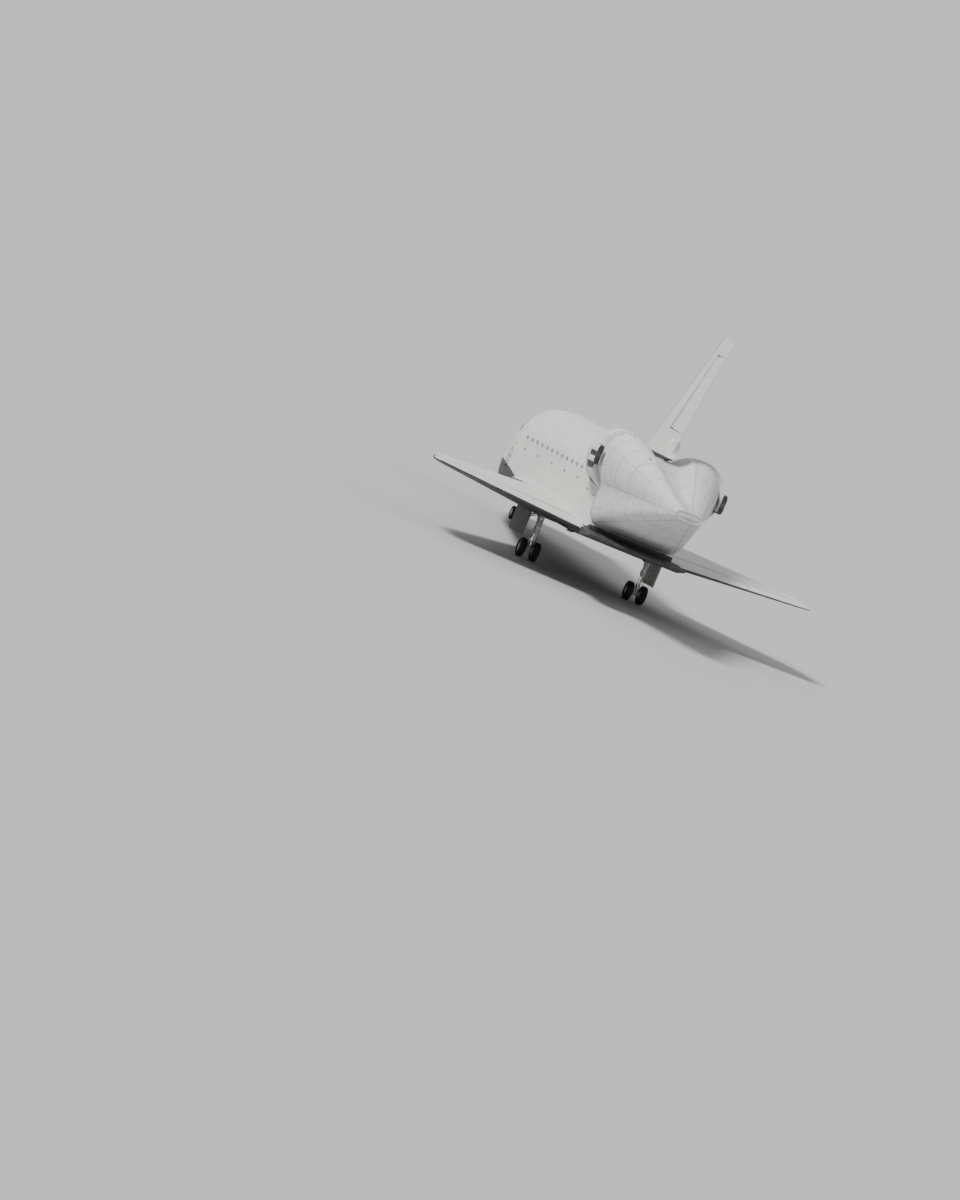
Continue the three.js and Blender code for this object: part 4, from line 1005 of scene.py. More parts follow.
def cushion(size):
    """A crowned pad whose sides pull in between its corners."""
    pull = 0.28
    shape = bmesh.new()
    bmesh.ops.create_cube(shape, size=2)
    bmesh.ops.subdivide_edges(shape, edges=shape.edges[:], cuts=7, use_grid_fill=True)
    for vertex in shape.verts:
        bulge = math.prod(1 - pull * value ** 4 for value in vertex.co)
        vertex.co = [value * (0.5 + 0.5 * bulge) * extent / 2 for value, extent in zip(vertex.co, size)]
    for _ in range(2):
        bmesh.ops.smooth_vert(shape, verts=shape.verts, factor=0.4,
                              use_axis_x=True, use_axis_y=True, use_axis_z=True)
    return shape


def cabin_panel():
    """Screens, switches and hand controls on the flight deck."""
    shape = bmesh.new()
    for height, count in ((408, 4), (418, 6), (427, 6)):
        step = PANEL_WIDE / count
        for k in range(count):
            left = (k - (count - 1) / 2) * step
            append(shape, block((0.7, step - 2.4, 7.2), (458.3, left, height)))
            append(shape, block((0.5, step - 4.4, 5.2), (458.6, left, height)), 1)
    append(shape, block((7, 92, 1.4), (455, 0, 433), edge=0.4))
    for k in range(6):
        append(shape, block((3.2, 10.5, 0.6), (463 + 5 * k, 0, 416.3)), k % 2)
    for _, side in SIDES:
        append(shape, rod((476, 14.5 * side, 402), (476, 14.5 * side, 421), 0.9, 0.7))
        append(shape, rod((476, 14.5 * side, 421), (475, 14.5 * side, 426), 1.2, 0.9))
    finished("cabin_panel", shape, ["cabin_trim", "black_trim"], "airframe")


# Thruster ports, vents and panels

HULL = ("forward_fuselage", "mid_fuselage", "aft_fuselage")
# Mouths of the nose thrusters: station, left or None on the sides, height or None on top, and radius.
NOSE_PORTS = (
    (333.8, 0, None, 5.0), (333.8, 14.5, None, 5.0), (350.9, 0, None, 5.0), (350.9, 14.4, None, 5.0),
    (362.7, None, 374.5, 4.6), (364.7, None, 360, 4.6), (333.8, None, 357.5, 4.4), (348.4, None, 358.8, 4.4),
    (324.4, None, 350.1, 2.2),
)
# A thruster's mouth: radius as a share of its own, and height in inches.
MOUTH = ((0, 0.06), (0.55, 0.06), (0.72, 0.32), (0.80, 0.62), (0.93, 0.60), (1.04, 0.30), (1.06, -1.2),
         (0, -1.2))
HOUSING = 156  # how far out the middle of a pod's side housing is
# Vent doors in the hull's sides: station, height, length and depth.
VENTS = ((398, 372, 11, 5), (632, 384, 20, 6), (776, 384, 20, 6), (930, 384, 20, 6), (1076, 384, 20, 6),
         (1222, 384, 20, 6), (1352, 372, 16, 7), (1436, 366, 16, 7))
# Service panels in the hull's sides: station, height, length and depth.
PANELS = ((1340, 330, 36, 28), (1462, 340, 22, 30), (1392, 322, 14, 14), (596, 350, 30, 20))


def port(tree, start, aim, radius):
    """A thruster's mouth where a ray meets a surface: a raised rim round a dark bowl."""
    place, normal = cast(tree, at(*start), way(*aim))
    shape = spun([(radius * share, height) for share, height in MOUTH], 28)
    for face in shape.faces:
        middle = face.calc_center_median()
        inside = math.hypot(middle.x, middle.y) < radius * 0.77 and middle.z > 0
        face.material_index = 0 if inside else 1
    return moved(shape, Matrix.Translation(place) @ upright(normal) @ Matrix.Scale(INCH, 4))


def nose_seal():
    """The seal where the nose cap meets the hull."""
    hull = surface("forward_fuselage")
    top, bottom = (where(cast(hull, at(267, 0, height), way(0, 0, up))[0])[2]
                   for height, up in ((600, -1), (100, 1)))
    shape = band(hull, 266.2, 3.4, (0, (top + bottom) / 2), (0, 360), 0.25, 72, edge=0.08)
    finished("nose_cap_seal", shape, ["black_trim"], "airframe")


def nose_ports():
    """The mouths of the forward thrusters, on the top and both sides of the nose."""
    hull = surface("forward_fuselage")
    shape = bmesh.new()
    for station, left, height, radius in NOSE_PORTS:
        for _, side in SIDES[:1] if left == 0 else SIDES:
            if height is None:
                append(shape, port(hull, (station, left * side, 500), (0, 0, -1), radius))
            else:
                append(shape, port(hull, (station, 160 * side, height), (0, -side, 0), radius))
    finished("nose_thruster_ports", shape, ["port_shadow", "black_trim"], "airframe")


def housing_ports(side, sign):
    """The mouths of the aft thrusters, on the outside, top, bottom and back of a pod's side housing."""
    pod = surface(f"oms_pod_{side}")
    shape = bmesh.new()
    for k in range(4):
        append(shape, port(pod, (1499 + 12.6 * k, 200 * sign, 459), (0, -sign, 0), 4.3))
    for k in range(3):
        for height, up in ((520, -1), (400, 1)):
            append(shape, port(pod, (1503 + 12.6 * k, HOUSING * sign, height), (0, 0, up), 3.0))
    for height in (448, 467):
        append(shape, port(pod, (1580, HOUSING * sign, height), (-1, 0, 0), 3.6))
    finished(f"aft_thruster_ports_{side}", shape, ["port_shadow", "black_trim"], "airframe")


def louvre_ray(start, across, up, normal, length, deep):
    """Rays of one louvre of a vent, straight at the hull."""
    return lambda x, y: (start + (across * x * length + up * y * deep) * INCH, -normal)


def vents(side, sign):
    """Vent doors in the hull's side: a frame, and three louvres in it."""
    hull = surface(*HULL)
    shape = bmesh.new()
    for station, height, length, deep in VENTS:
        ring, place, normal, across = framed(
            hull, (station, 180 * sign, height), (0, -sign, 0), (length, deep), 0.8, 0.25)
        append(shape, ring)
        up = normal.cross(across)
        for aside in (-0.26, 0.0, 0.26):
            start = place + up * aside * deep * INCH + normal * 4 * INCH
            ray = louvre_ray(start, across, up, normal, length - 1.4, deep * 0.16)
            append(shape, lie(grid(6), hull, ray, 0.12), 1)
    finished(f"side_vents_{side}", shape, ["white_seal", "port_shadow"], "airframe")


def hull_panels():
    """Frames of the star trackers' doors, of service panels and of the belly's umbilical doors."""
    hull = surface(*HULL)
    shape, belly = bmesh.new(), bmesh.new()
    for left in (30, 47):
        append(shape, framed(hull, (416, left, 520), (0, 0, -1), (13, 11), 1.0, 0.3)[0])
    for _, side in SIDES:
        for station, height, *size in PANELS:
            append(shape, framed(hull, (station, 180 * side, height), (0, -side, 0), size, 0.7, 0.18)[0])
        append(belly, framed(hull, (1380, 52 * side, 200), (0, 0, 1), (50, 48), 0.8, 0.15)[0])
    finished("service_panel_frames", shape, ["white_seal"], "airframe")
    finished("umbilical_door_frames", belly, ["black_trim"], "airframe")


# Cargo bay

BAY_FRONT, BAY_BACK = 583, 1306
DOOR_PARTS = 5
HINGE = {"left": 106.5, "height": 411.5, "radius": 1.25}
AIRLOCK = 366  # height of the airlock's middle


def door_straps(side, sign, width, thick):
    """Seals over the joints of a cargo door's parts, and along its top edge."""
    door = surface(f"payload_door_{side}")
    angles = (8.5, 89.0) if sign > 0 else (171.5, 91.0)
    shape = bmesh.new()
    for joint in spread(BAY_FRONT, BAY_BACK, DOOR_PARTS + 1):
        station = min(max(joint, BAY_FRONT + width * 0.6), BAY_BACK - width * 0.6)
        append(shape, band(door, station, width, (0, HULL_MIDDLE), angles, thick, 20, edge=0.06))
    top = straight((BAY_FRONT + 1, 1.9 * sign, 560), (BAY_BACK - 1, 1.9 * sign, 560), (0, 2.2 * sign, 0),
                   (0, 0, -1))
    append(shape, lie(grid(30), door, top, 0.16))
    finished(f"door_straps_{side}", shape, ["white_seal"], f"payload_door_{side}")


def door_hinges(side, sign, count):
    """Knuckles along a cargo door's hinge: the middle one is the hull's, those beside it the door's."""
    left, height, radius = HINGE["left"] * sign, HINGE["height"], HINGE["radius"]
    leaf = left - 1.2 * sign

    def knuckle(station, half):
        return rod((station - half, left, height), (station + half, left, height), radius)

    fixed, moving = bmesh.new(), bmesh.new()
    for station in spread(612, 1276, count):
        append(fixed, knuckle(station, 2.4))
        append(fixed, block((4.8, 1.8, 4.4), (station, leaf, height - 2.4)))
        for beside in (station - 4.4, station + 4.4):
            append(moving, knuckle(beside, 1.7))
            append(moving, block((3.4, 1.6, 3.8), (beside, leaf, height + 2.2)))
    finished(f"door_hinges_fixed_{side}", fixed, ["bare_metal"], "airframe")
    finished(f"door_hinges_moving_{side}", moving, ["bare_metal"], f"payload_door_{side}")


def bay_frames():
    """Frames round the cargo bay, each a wide foot with a narrow rib."""
    trough = surface("mid_fuselage")
    shape = bmesh.new()
    for station in spread(590, 1300, 13):
        for width, thick in ((5.0, 0.5), (1.2, 2.2)):
            append(shape, lie(grid(40), trough, arc(bay_ray, station, width, (-182, 2)), thick))
    finished("bay_frames", shape, ["bay_primer"], "airframe")


def bay_trays():
    """Cable trays along the cargo bay."""
    trough = surface("mid_fuselage")
    shape = bmesh.new()
    for angle, width in ((-148, 3.4), (-32, 3.4), (-120, 2.2), (-60, 2.2), (-90, 5.0)):
        append(shape, lie(grid(24), trough, run(bay_ray, (586, 1304), width, angle), 2.8, edge=0.3))
    finished("bay_trays", shape, ["bare_metal"], "airframe")


def front_bulkhead(shape):
    """The airlock's hatch and ring, stiffeners and two windows on the cargo bay's front."""
    for rows, closed in ((((0, 1.2), (16, 1.6), (18, 1.0), (18, -0.2), (0, -0.2)), False),
                         (((19, -0.2), (19, 2.4), (22, 2.4), (23, 1.2), (23, -0.2)), True)):
        append(shape, moved(spun(rows, 40, closed), standing(582.1, 0, AIRLOCK, aim=(1, 0, 0))))
    for left, up in circle(16, 20.6):
        append(shape, stud(at(584.5, left, AIRLOCK + up), way(1, 0, 0), 0.6, 0.5))
    for left in (-78, -52, -30, 30, 52, 78):
        top = math.sqrt(90 ** 2 - left ** 2)
        append(shape, block((1.6, 1.4, 2 * top * 0.86), (582.7, left, HULL_MIDDLE - top * 0.05)))
    for left in (-14, 14):
        append(shape, block((0.5, 11, 9), (582.2, left, 438), edge=0.2), 1)
        for height in (432.4, 443.6):
            append(shape, block((1.2, 14, 1.3), (582.5, left, height)))
        for aside in (-6.4, 6.4):
            append(shape, block((1.2, 1.3, 11), (582.5, left + aside, 438)))


def sills(shape):
    """The cargo bay's sills, each with a row of latches and their rollers."""
    height, roller = 405.5, 85.6
    for _, sign in SIDES:
        append(shape, block((716, 2.6, 3.2), (944.5, 90.2 * sign, height), edge=0.4))
        for station in spread(630, 1250, 11):
            append(shape, block((7, 4.4, 5.2), (station, 89 * sign, height - 0.9), edge=0.5))
            ends = [(station + half, roller * sign, height) for half in (-2, 2)]
            append(shape, rod(*ends, 1.5))


def back_bulkhead(shape):
    """Stiffeners on the cargo bay's back."""
    radius = 88
    for left in (-66, -44, -22, 0, 22, 44, 66):
        tall = 2 * math.sqrt(radius ** 2 - left ** 2) * 0.88
        append(shape, block((1.8, 1.6, tall), (1306.4, left, 398)))
    for height in (350, 398, 440):
        wide = 2 * math.sqrt(radius ** 2 - (height - HULL_MIDDLE) ** 2) * 0.9
        append(shape, block((1.5, wide, 2.2), (1306.6, 0, height)))


def bay_fittings():
    """What stands on the cargo bay's two ends and its sills."""
    shape = bmesh.new()
    front_bulkhead(shape)
    sills(shape)
    back_bulkhead(shape)
    finished("bay_fittings", shape, ["bay_primer", "port_shadow"], "airframe")


def radiator_tubes(side, sign):
    """Feed tubes along a radiator's edges, and its cross strips."""
    panel = surface(f"radiator_{side}")
    angles = (27.5, 79.5) if sign > 0 else (152.5, 100.5)
    ends = (600, 1184)
    shape = bmesh.new()
    for angle in angles:
        append(shape, lie(grid(24), panel, run(bay_ray, ends, 1.1, angle), 0.8, edge=0.2))
    for station in spread(*ends, 5):
        append(shape, lie(grid(14), panel, arc(bay_ray, station, 1.4, angles), 0.7))
    finished(f"radiator_tubes_{side}", shape, ["bare_metal"], f"payload_door_{side}")


# Tail cone

CONE_FRAMES = (1560, 1620, 1690, 1770, 1850, 1912)
CONE_END = 413  # height of the middle of the cone's flat end
CLAMP = {"station": 1515.2, "width": 6.4, "thick": 0.55, "bolts": 72}
CLOSURE = {"station": 1511.6, "thick": 0.8, "in_cone": 1.5, "in_hull": 3, "inside": 7, "low": 320}
# Access panels in the cone's sides: station, height, length and depth.
CONE_PANELS = ((1588, 372, 26, 20), (1655, 384, 22, 16), (1588, 452, 18, 14), (1730, 396, 24, 14))


def cone_middle(station):
    """The middle of the tail cone at a station: left and height."""
    share = (station - 1511) / (1943 - 1511)
    return 0, 402.5 + 10.5 * share


def recess_end(shape):
    """Sinks a panel into the tail cone's flat end, inside a rim, both in the second finish."""
    end = min(shape.faces, key=lambda face: face.calc_center_median().x)
    end.material_index = 1
    for thickness, depth in ((2.0, 0), (0.5, -1.4), (1.6, 0), (0.3, 0.4)):
        made = bmesh.ops.inset_individual(shape, faces=[end], thickness=thickness * INCH, depth=depth * INCH)
        for face in made["faces"]:
            face.material_index = 1


def cone_skin():
    """The tail cone's skin with its end panel, bolts round the panel, and a vent in the middle of it."""
    skin("tail_cone", ["cone_paint", "cone_trim"], change=recess_end)
    shape = bmesh.new()
    for left, up in circle(24, 22.5, 5.6, offset=0.5):
        append(shape, stud(at(1942, left, CONE_END + up), way(1, 0, 0), 0.45, 0.4))
    vent = spun(((2.2, -0.2), (2.2, 0.7), (3.0, 0.7), (3.4, 0.4), (3.4, -0.2)), closed=True)
    append(shape, moved(vent, standing(1941.9, 0, CONE_END, aim=(1, 0, 0))))
    finished("cone_end_fittings", shape, ["bare_metal"], "airframe")


def cone_seams(width, thick):
    """Straps over the tail cone's joints: round it at its frames, and along it."""
    cone = surface("tail_cone")
    shape = bmesh.new()
    for station in CONE_FRAMES:
        append(shape, band(cone, station, width, cone_middle(station), (0, 360), thick, 288))
    for angle in (0, 180, -90, -42, -138, 62, 118):
        append(shape, strap_along(cone, (1520, 1936), angle, cone_middle, width * 0.8, thick * 0.8))
    append(shape, band(cone, 1940.2, 4.6, cone_middle(1940), (0, 360), 0.5, 96, edge=0.1))
    finished("cone_seams", shape, ["cone_trim"], "airframe")


def cone_clamp():
    """The bolted ring that clamps the tail cone to the hull."""
    cone = surface("tail_cone")
    station, thick, bolts = CLAMP["station"], CLAMP["thick"], CLAMP["bolts"]
    middle = cone_middle(1515)
    shape = band(cone, station, CLAMP["width"], middle, (0, 360), thick, 160, edge=0.12)
    for k in range(bolts):
        place, normal = cast(cone, *polar_ray(station, middle, 360 * (k + 0.5) / bolts))
        append(shape, stud(place + normal * thick * INCH, normal, 0.75, 0.55), 1)
    finished("cone_clamp_ring", shape, ["cone_trim", "bare_metal"], "airframe")


def cone_closure():
    """The flat ring that closes the gaps between the tail cone's front and the hull's back."""
    station = CLOSURE["station"]
    middle = cone_middle(station)

    def reach(tree, behind, angle):
        _, left, height = where(cast(tree, *polar_ray(station + behind, middle, angle))[0])
        return math.hypot(left - middle[0], height - middle[1])

    shape = ring_sheet(144)
    for vertex in shape.verts:
        angle = math.degrees(math.atan2(vertex.co.y, vertex.co.x))
        to_cone = reach(surface("tail_cone"), 1, angle)
        to_hull = reach(surface("aft_fuselage"), -6, angle)
        far = max(to_cone - CLOSURE["in_cone"], to_hull - CLOSURE["in_hull"])
        if vertex.co.length < (INNER_RING + 0.5) / 2:
            far = min(to_cone, to_hull) - CLOSURE["inside"]
        side, up = turned(angle)
        vertex.co = at(station, middle[0] + side * far, middle[1] + up * far)
    for vertex in verts_of(bmesh.ops.extrude_face_region(shape, geom=shape.faces[:])):
        vertex.co += way(1, 0, 0) * CLOSURE["thick"] * INCH
    bmesh.ops.recalc_face_normals(shape, faces=shape.faces)
    for face in shape.faces:
        face.material_index = int(where(face.calc_center_median())[2] < CLOSURE["low"])
    finished("cone_closure", shape, ["cone_trim", "hull_skin"], "airframe")


def lifting_eye(cone, station, side):
    """A ring that stands on a round foot, high on the tail cone's side."""
    place, normal = cast(cone, *polar_ray(station, cone_middle(station), 52 if side > 0 else 128))
    eye = spun(((2.6, -0.9), (3.6, -0.9), (4.2, 0), (3.6, 0.9), (2.6, 0.9), (2.2, 0)), 20, closed=True)
    turn = upright(way(0, side * 0.6, -0.8))
    moved(eye, Matrix.Translation(place + normal * 2.4 * INCH) @ turn @ Matrix.Scale(INCH * 0.8, 4))
    append(eye, stud(place, normal, 3.4, 0.8))
    return eye


def cone_panels():
    """Access panels, drains and lifting eyes on the tail cone."""
    cone = surface("tail_cone")
    shape = bmesh.new()
    for _, side in SIDES:
        for station, height, length, deep in CONE_PANELS:
            ring, place, normal, across = framed(
                cone, (station, 240 * side, height), (0, -side, 0), (length, deep), 0.9, 0.2)
            append(shape, ring)
            up = normal.cross(across)
            for a in (-1, 0, 1):
                for b in (-1, 1):
                    start = place + (across * a * length * 0.40 + up * b * deep * 0.36 + normal * 6) * INCH
                    append(shape, stud(*cast(cone, start, -normal), 0.5, 0.25), 1)
        for station in (1546, 1668):
            append(shape, lifting_eye(cone, station, side), 1)
    for station in (1540, 1600, 1676, 1760):
        append(shape, port(cone, (station, 9, 200), (0, 0, 1), 1.6))
    finished("cone_panels", shape, ["cone_trim", "bare_metal"], "airframe")


# Wings

# Hinge panels of a wing: from and to, left of the middle, and how many.
HINGE_PANELS = ((121, 309, 5), (317, 460, 4))


def wing_plane(left):
    """The height of the wing's chord plane."""
    return WING_PLANE + WING_RISE * left


def edge_ray(station, left, height, sign):
    """Rays round the wing's front edge at a place, from under it to over it."""
    reach, sweep, width = 30, math.radians(128), 0.8

    def ray(x, y):
        front, up = math.cos(sweep * x), math.sin(sweep * x)
        start = at(station - front * reach + y * width, left + y * width * sign, height + up * reach)
        return start, way(front, 0, -up)

    return ray


def edge_seals(side, sign):
    """Seals between the carbon panels of a wing's front edge."""
    edge = surface(f"wing_edge_{side}")
    first, pitch, count = 168.6, 15.6, 19
    shape = bmesh.new()
    for k in range(count):
        left = first + pitch * k
        front, _ = cast(edge, at(700, left * sign, wing_plane(left)), way(1, 0, 0))
        ray = edge_ray(where(front)[0] + 8, left * sign, wing_plane(left), sign)
        append(shape, lie(grid(18), edge, ray, 0.14))
    finished(f"wing_edge_seals_{side}", shape, ["carbon_edge"], "airframe")


def hinge_panels(side, sign):
    """Thin panels over a wing's hinge cove, ahead of the elevons."""
    wing = surface(f"wing_{side}")
    shape = bmesh.new()
    for first, last, count in HINGE_PANELS:
        step = (last - first) / count
        for k in range(count):
            near, far = first + step * k + 0.5, first + step * (k + 1) - 0.5
            ray = straight((1370.5, near * sign, 400), (1370.5, far * sign, 400), (13, 0, 0), (0, 0, -1))
            append(shape, lie(grid(24, 4), wing, ray, 0.3, edge=0.06))
    finished(f"hinge_panels_{side}", shape, ["white_seal"], "airframe")


# Fin, rudder and pods

CHUTE = (0, 533)  # the middle of the parachute's housing: left and height
RUDDER = {"strips": (584, 768), "out": 80}  # heights between which its edge strips run, and a ray's start
# Joints of a pod's shell: station, and the angles between which each one runs.
POD_JOINTS = ((1350, -8, 92), (1405, -14, 98), (1462, 32, 100), (1506, 30, 102))


def fin_front(height):
    return FIN["lead"] + height


def fin_chord(height):
    return FIN["root"] - (FIN["root"] - FIN["tip"]) * (height - FIN["foot"]) / FIN["tall"]


def fin_seams():
    """Seams on the fin's tip and foot."""
    fin = surface("fin")
    shape = bmesh.new()
    for _, side in SIDES:
        for height, *shares in ((782, 0.06, 0.9), (548, 0.05, 0.56)):
            ends = [(fin_front(height) + share * fin_chord(height), 60 * side, height) for share in shares]
            append(shape, lie(grid(48, 2), fin, straight(*ends, (0, 0, 1.6), (0, -side, 0)), 0.24))
    finished("fin_seams", shape, ["white_seal"], "airframe")


def chute_door_seam():
    """The seam and bolts of the parachute housing's door."""
    housing = surface("drag_chute_housing")
    shape = band(housing, 1541, 1.8, CHUTE, (-30, 210), 0.25, 40, edge=0.05)
    for angle in spread(-20, 200, 8):
        bolt = cast(housing, *polar_ray(1536, CHUTE, angle))
        append(shape, stud(*bolt, 0.55, 0.4), 1)
    finished("chute_door_seam", shape, ["white_seal", "bare_metal"], "airframe")


def on_rudder(height, share, sign):
    """A place beside a rudder panel, from its hinge to its rear edge by share."""
    front, chord = fin_front(height), fin_chord(height)
    hinge = front + FIN["hinge"] * chord
    station = hinge + 6 + (front + chord * 0.985 - hinge - 10) * share
    return station, RUDDER["out"] * sign, height


def rudder_seams(side, sign):
    """Joints and edge strips on a rudder panel."""
    panel = surface(f"rudder_{side}")
    inwards = (0, -sign, 0)
    shape = bmesh.new()
    for height, width in ((583, 1.6), (628, 1.1), (676, 2.4), (722, 1.1), (768, 1.6)):
        ends = [on_rudder(height, share, sign) for share in (0, 1)]
        append(shape, lie(grid(30, 2), panel, straight(*ends, (0, 0, width), inwards), 0.22))
    for share in (0.03, 0.97):
        ends = [on_rudder(height, share, sign) for height in RUDDER["strips"]]
        append(shape, lie(grid(48, 2), panel, straight(*ends, (1.4, 0, 0), inwards), 0.22))
    finished(f"rudder_seams_{side}", shape, ["white_seal"], f"rudder_{side}")


def pod_seams(side, sign):
    """Joints of an engine pod's shell."""
    pod = surface(f"oms_pod_{side}")
    shape = bmesh.new()
    for station, low, high in POD_JOINTS:
        angles = (low, high) if sign > 0 else (180 - low, 180 - high)
        append(shape, band(pod, station, 1.6, (88 * sign, 455), angles, 0.26, 160))
    finished(f"pod_seams_{side}", shape, ["white_seal"], "airframe")


# Landing gear

# Each wheel set's place, and in inches the radius of its axle, tyre and rim, and its half track and width.
MAIN = {"station": 1172, "out": 136, "height": 187, "axle": 3.4, "half": 17,
        "tyre": 22.25, "width": 16, "rim": 10.5}
NOSE = {"station": 362, "out": 0, "height": where(Vector(JOINTS["nose_wheels_spin"]["pos_m"]))[2],
        "axle": 2.2, "half": 11, "tyre": 16, "width": 8.8, "rim": 8}
# A tyre's side: its rise from the rim to the tread, and its reach out of half its width, both as shares.
TYRE_SIDE = ((0.01, 0.72), (0.06, 0.84), (0.16, 0.93), (0.32, 0.985), (0.50, 1.0), (0.66, 0.975),
             (0.80, 0.90), (0.90, 0.80), (0.965, 0.68), (1.0, 0.52))
GROOVE = (0.22, 0.34)  # half width and depth
# A wheel's section with its dish facing up: radius as a share of the rim's, and height of half the width.
WHEEL = ((0, 0.58), (0.20, 0.58), (0.24, 0.50), (0.26, 0.20), (0.60, 0.12), (0.78, 0.34), (0.86, 0.66),
         (0.97, 0.72), (1, 0.64), (1, -0.72), (0.94, -0.76), (0.84, -0.66), (0.82, -0.10), (0.30, -0.10),
         (0.30, -0.55), (0, -0.55))
BRAKE_DISC = ((0.34, 0), (0.74, 0), (0.74, 0.45), (0.34, 0.45))  # share of the rim's radius, and height
# Fittings that carry the vehicle: station, left and radius.
CARRIERS = ((391, 0, 6), (1317, 96.5, 7.5), (1317, -96.5, 7.5))
MAIN_DOOR = 164.4  # how far out the inner face of a main gear's door is
# A brake pipe down a main leg: share of the way down, distance behind the leg, and share of its place aside.
BRAKE_PIPE = ((0.04, 5, 1), (0.45, 6.4, 1), (0.60, 8.6, 1), (0.74, 9.5, 1.3), (0.93, 4.5, 1.25),
              (0.99, 2, 1.1))
# A pipe under a main gear well's roof: station, step aside and height.
WELL_PIPE = ((1040, 0, 312.4), (1112, 0, 312.4), (1118, 3, 312.2), (1190, 3, 312.2))
DOOR_LINK = ((9, 300), (5, 286), (1.2, 274))  # how far inside the door, and height


def tyre_rows(gear, grooves):
    """A tyre's section as (radius, height) rows, with its grooves cut in the tread."""
    tread, rim, wall = gear["tyre"], gear["rim"], 0.05
    side = [(rim + wall + (tread - rim - wall) * up, gear["width"] / 2 * out) for up, out in TYRE_SIDE]
    wide, deep = GROOVE
    cuts = []
    for place in grooves:
        cuts += [(tread, place - wide), (tread - deep, place - wide * 0.7),
                 (tread - deep, place + wide * 0.7), (tread, place + wide)]
    return [(radius, -height) for radius, height in side] + cuts + side[::-1]


def tyres(label, gear, out, grooves, body):
    """The two tyres of a wheel set, with grooved treads."""
    for name, sign in SIDES:
        shape = spun(tyre_rows(gear, grooves), 84, closed=True)
        moved(shape, standing(gear["station"], out + sign * gear["half"], gear["height"], aim=(0, 1, 0)))
        piece = finished(f"{label}_tyre_{name}_round", shape, ["tyre_rubber"], body, sharp=28)
        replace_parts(piece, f"{label}_tyre_{name}")


def wheels(label, gear, out, body, bolts):
    """The two wheels of a set on their axle, with hub bolts, holes and brakes."""
    rim, width = gear["rim"], gear["width"]
    ends = [(gear["station"], out + sign * gear["half"], gear["height"]) for _, sign in SIDES]
    shape = rod(*ends, gear["axle"], sides=24)
    for place, (_, sign) in zip(ends, SIDES):
        stand = standing(*place, aim=(0, sign, 0))
        rows = [(rim * radius, width / 2 * height) for radius, height in WHEEL]
        append(shape, moved(spun(rows, 48), stand))
        for reach, radius, height in ((0.70, 0.34, 0.12), (0.33, 0.30, 0.09)):
            for spot in circle(bolts, rim * reach):
                head = stand @ Vector((*spot, width * height))
                append(shape, stud(head, way(0, sign, 0), radius * rim / 8, 0.5), 1)
        for spot in circle(bolts // 2, rim * 0.48, offset=0.5):
            hole = spun(((0, 0.02), (rim * 0.085, 0.02), (rim * 0.085, -0.3), (0, -0.3)), 12)
            append(shape, moved(hole, stand @ Matrix.Translation((*spot, width * 0.078))), 2)
        for k in range(4):
            disc = spun([(rim * radius, height) for radius, height in BRAKE_DISC], closed=True)
            depth = width * (0.10 + 0.055 * k)
            append(shape, moved(disc, stand @ Matrix.Translation((0, 0, -depth))), 1)
    piece = finished(f"{label}_wheels_detailed", shape, ["gear_paint", "bare_metal", "port_shadow"], body)
    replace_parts(piece, f"{label}_wheels")


def leg_line(top, foot):
    """A function that gives a place on a leg by its share of the way down, moved forward and aside."""
    top, foot = Vector(top), Vector(foot)

    def down(share, forward=0.0, aside=0.0):
        station, left, height = top.lerp(foot, share)
        return station - forward, left + aside, height

    return down


def main_leg_details(side, sign):
    """A main leg's polished piston and collars, and its brake pipes with their clamps."""
    left = MAIN["out"] * sign
    down = leg_line((1180, left, 299), (1172, left, 187))
    shape = rod(down(0.625), down(0.90), 4.72, sides=32)
    append(shape, rod(down(0.50), down(0.515), 7.1, sides=32))
    append(shape, rod(down(0.30), down(0.315), 7.0, sides=32))
    finished(f"main_piston_{side}", shape, ["gear_chrome"], "airframe")

    lines = bmesh.new()
    for aside in (-5.6, 5.6):
        route = [down(share, -behind, aside * out) for share, behind, out in BRAKE_PIPE]
        append(lines, pipe(route, 0.42))
        for share in (0.16, 0.30, 0.44):
            append(lines, block((2.4, 1.6, 1.5), down(share, -6.2, aside)), 1)
    for share, forward in ((0.2, 6.8), (0.36, 6.6)):
        append(lines, block((3.0, 4.6, 5.4), down(share, forward), edge=0.4), 1)
    for aside, radius in ((-24, 0.8), (-19, 0.5), (20, 0.7)):
        route = [(station, left + (aside + step) * sign, height) for station, step, height in WELL_PIPE]
        append(lines, pipe(route, radius), 1)
    finished(f"main_leg_lines_{side}", lines, ["rubber_hose", "bare_metal"], "airframe")


def main_door_fittings(side, sign):
    """The links and struts that hold a main gear's door, and the ribs inside it."""
    left, door = MAIN["out"] * sign, MAIN_DOOR * sign
    shape = bmesh.new()
    for station in (1052, 1094, 1136, 1176):
        link = [(station, door - inside * sign, height) for inside, height in DOOR_LINK]
        append(shape, pipe(link, 1.3, sides=10))
        append(shape, block((4.2, 1.4, 9), (station, door - 0.6 * sign, 271), edge=0.3))
        append(shape, block((4.6, 6.0, 3.4), (station, door - 9 * sign, 301), edge=0.4))
    append(shape, rod((1150, left + 5 * sign, 268), (1118, door - 2 * sign, 252), 1.3))
    append(shape, rod((1165, left + 5 * sign, 275), (1142, door - 9 * sign, 264), 2.0))
    for station in (1044, 1068, 1092, 1116, 1140, 1164, 1184):
        append(shape, block((1.3, 1.2, 62), (station, door - 0.5 * sign, 247)), 1)
    for height in (219, 240, 262):
        append(shape, block((148, 1.5, 1.3), (1112, door - 0.6 * sign, height)), 1)
    finished(f"main_door_fittings_{side}", shape, ["gear_paint", "bay_primer"], "airframe")


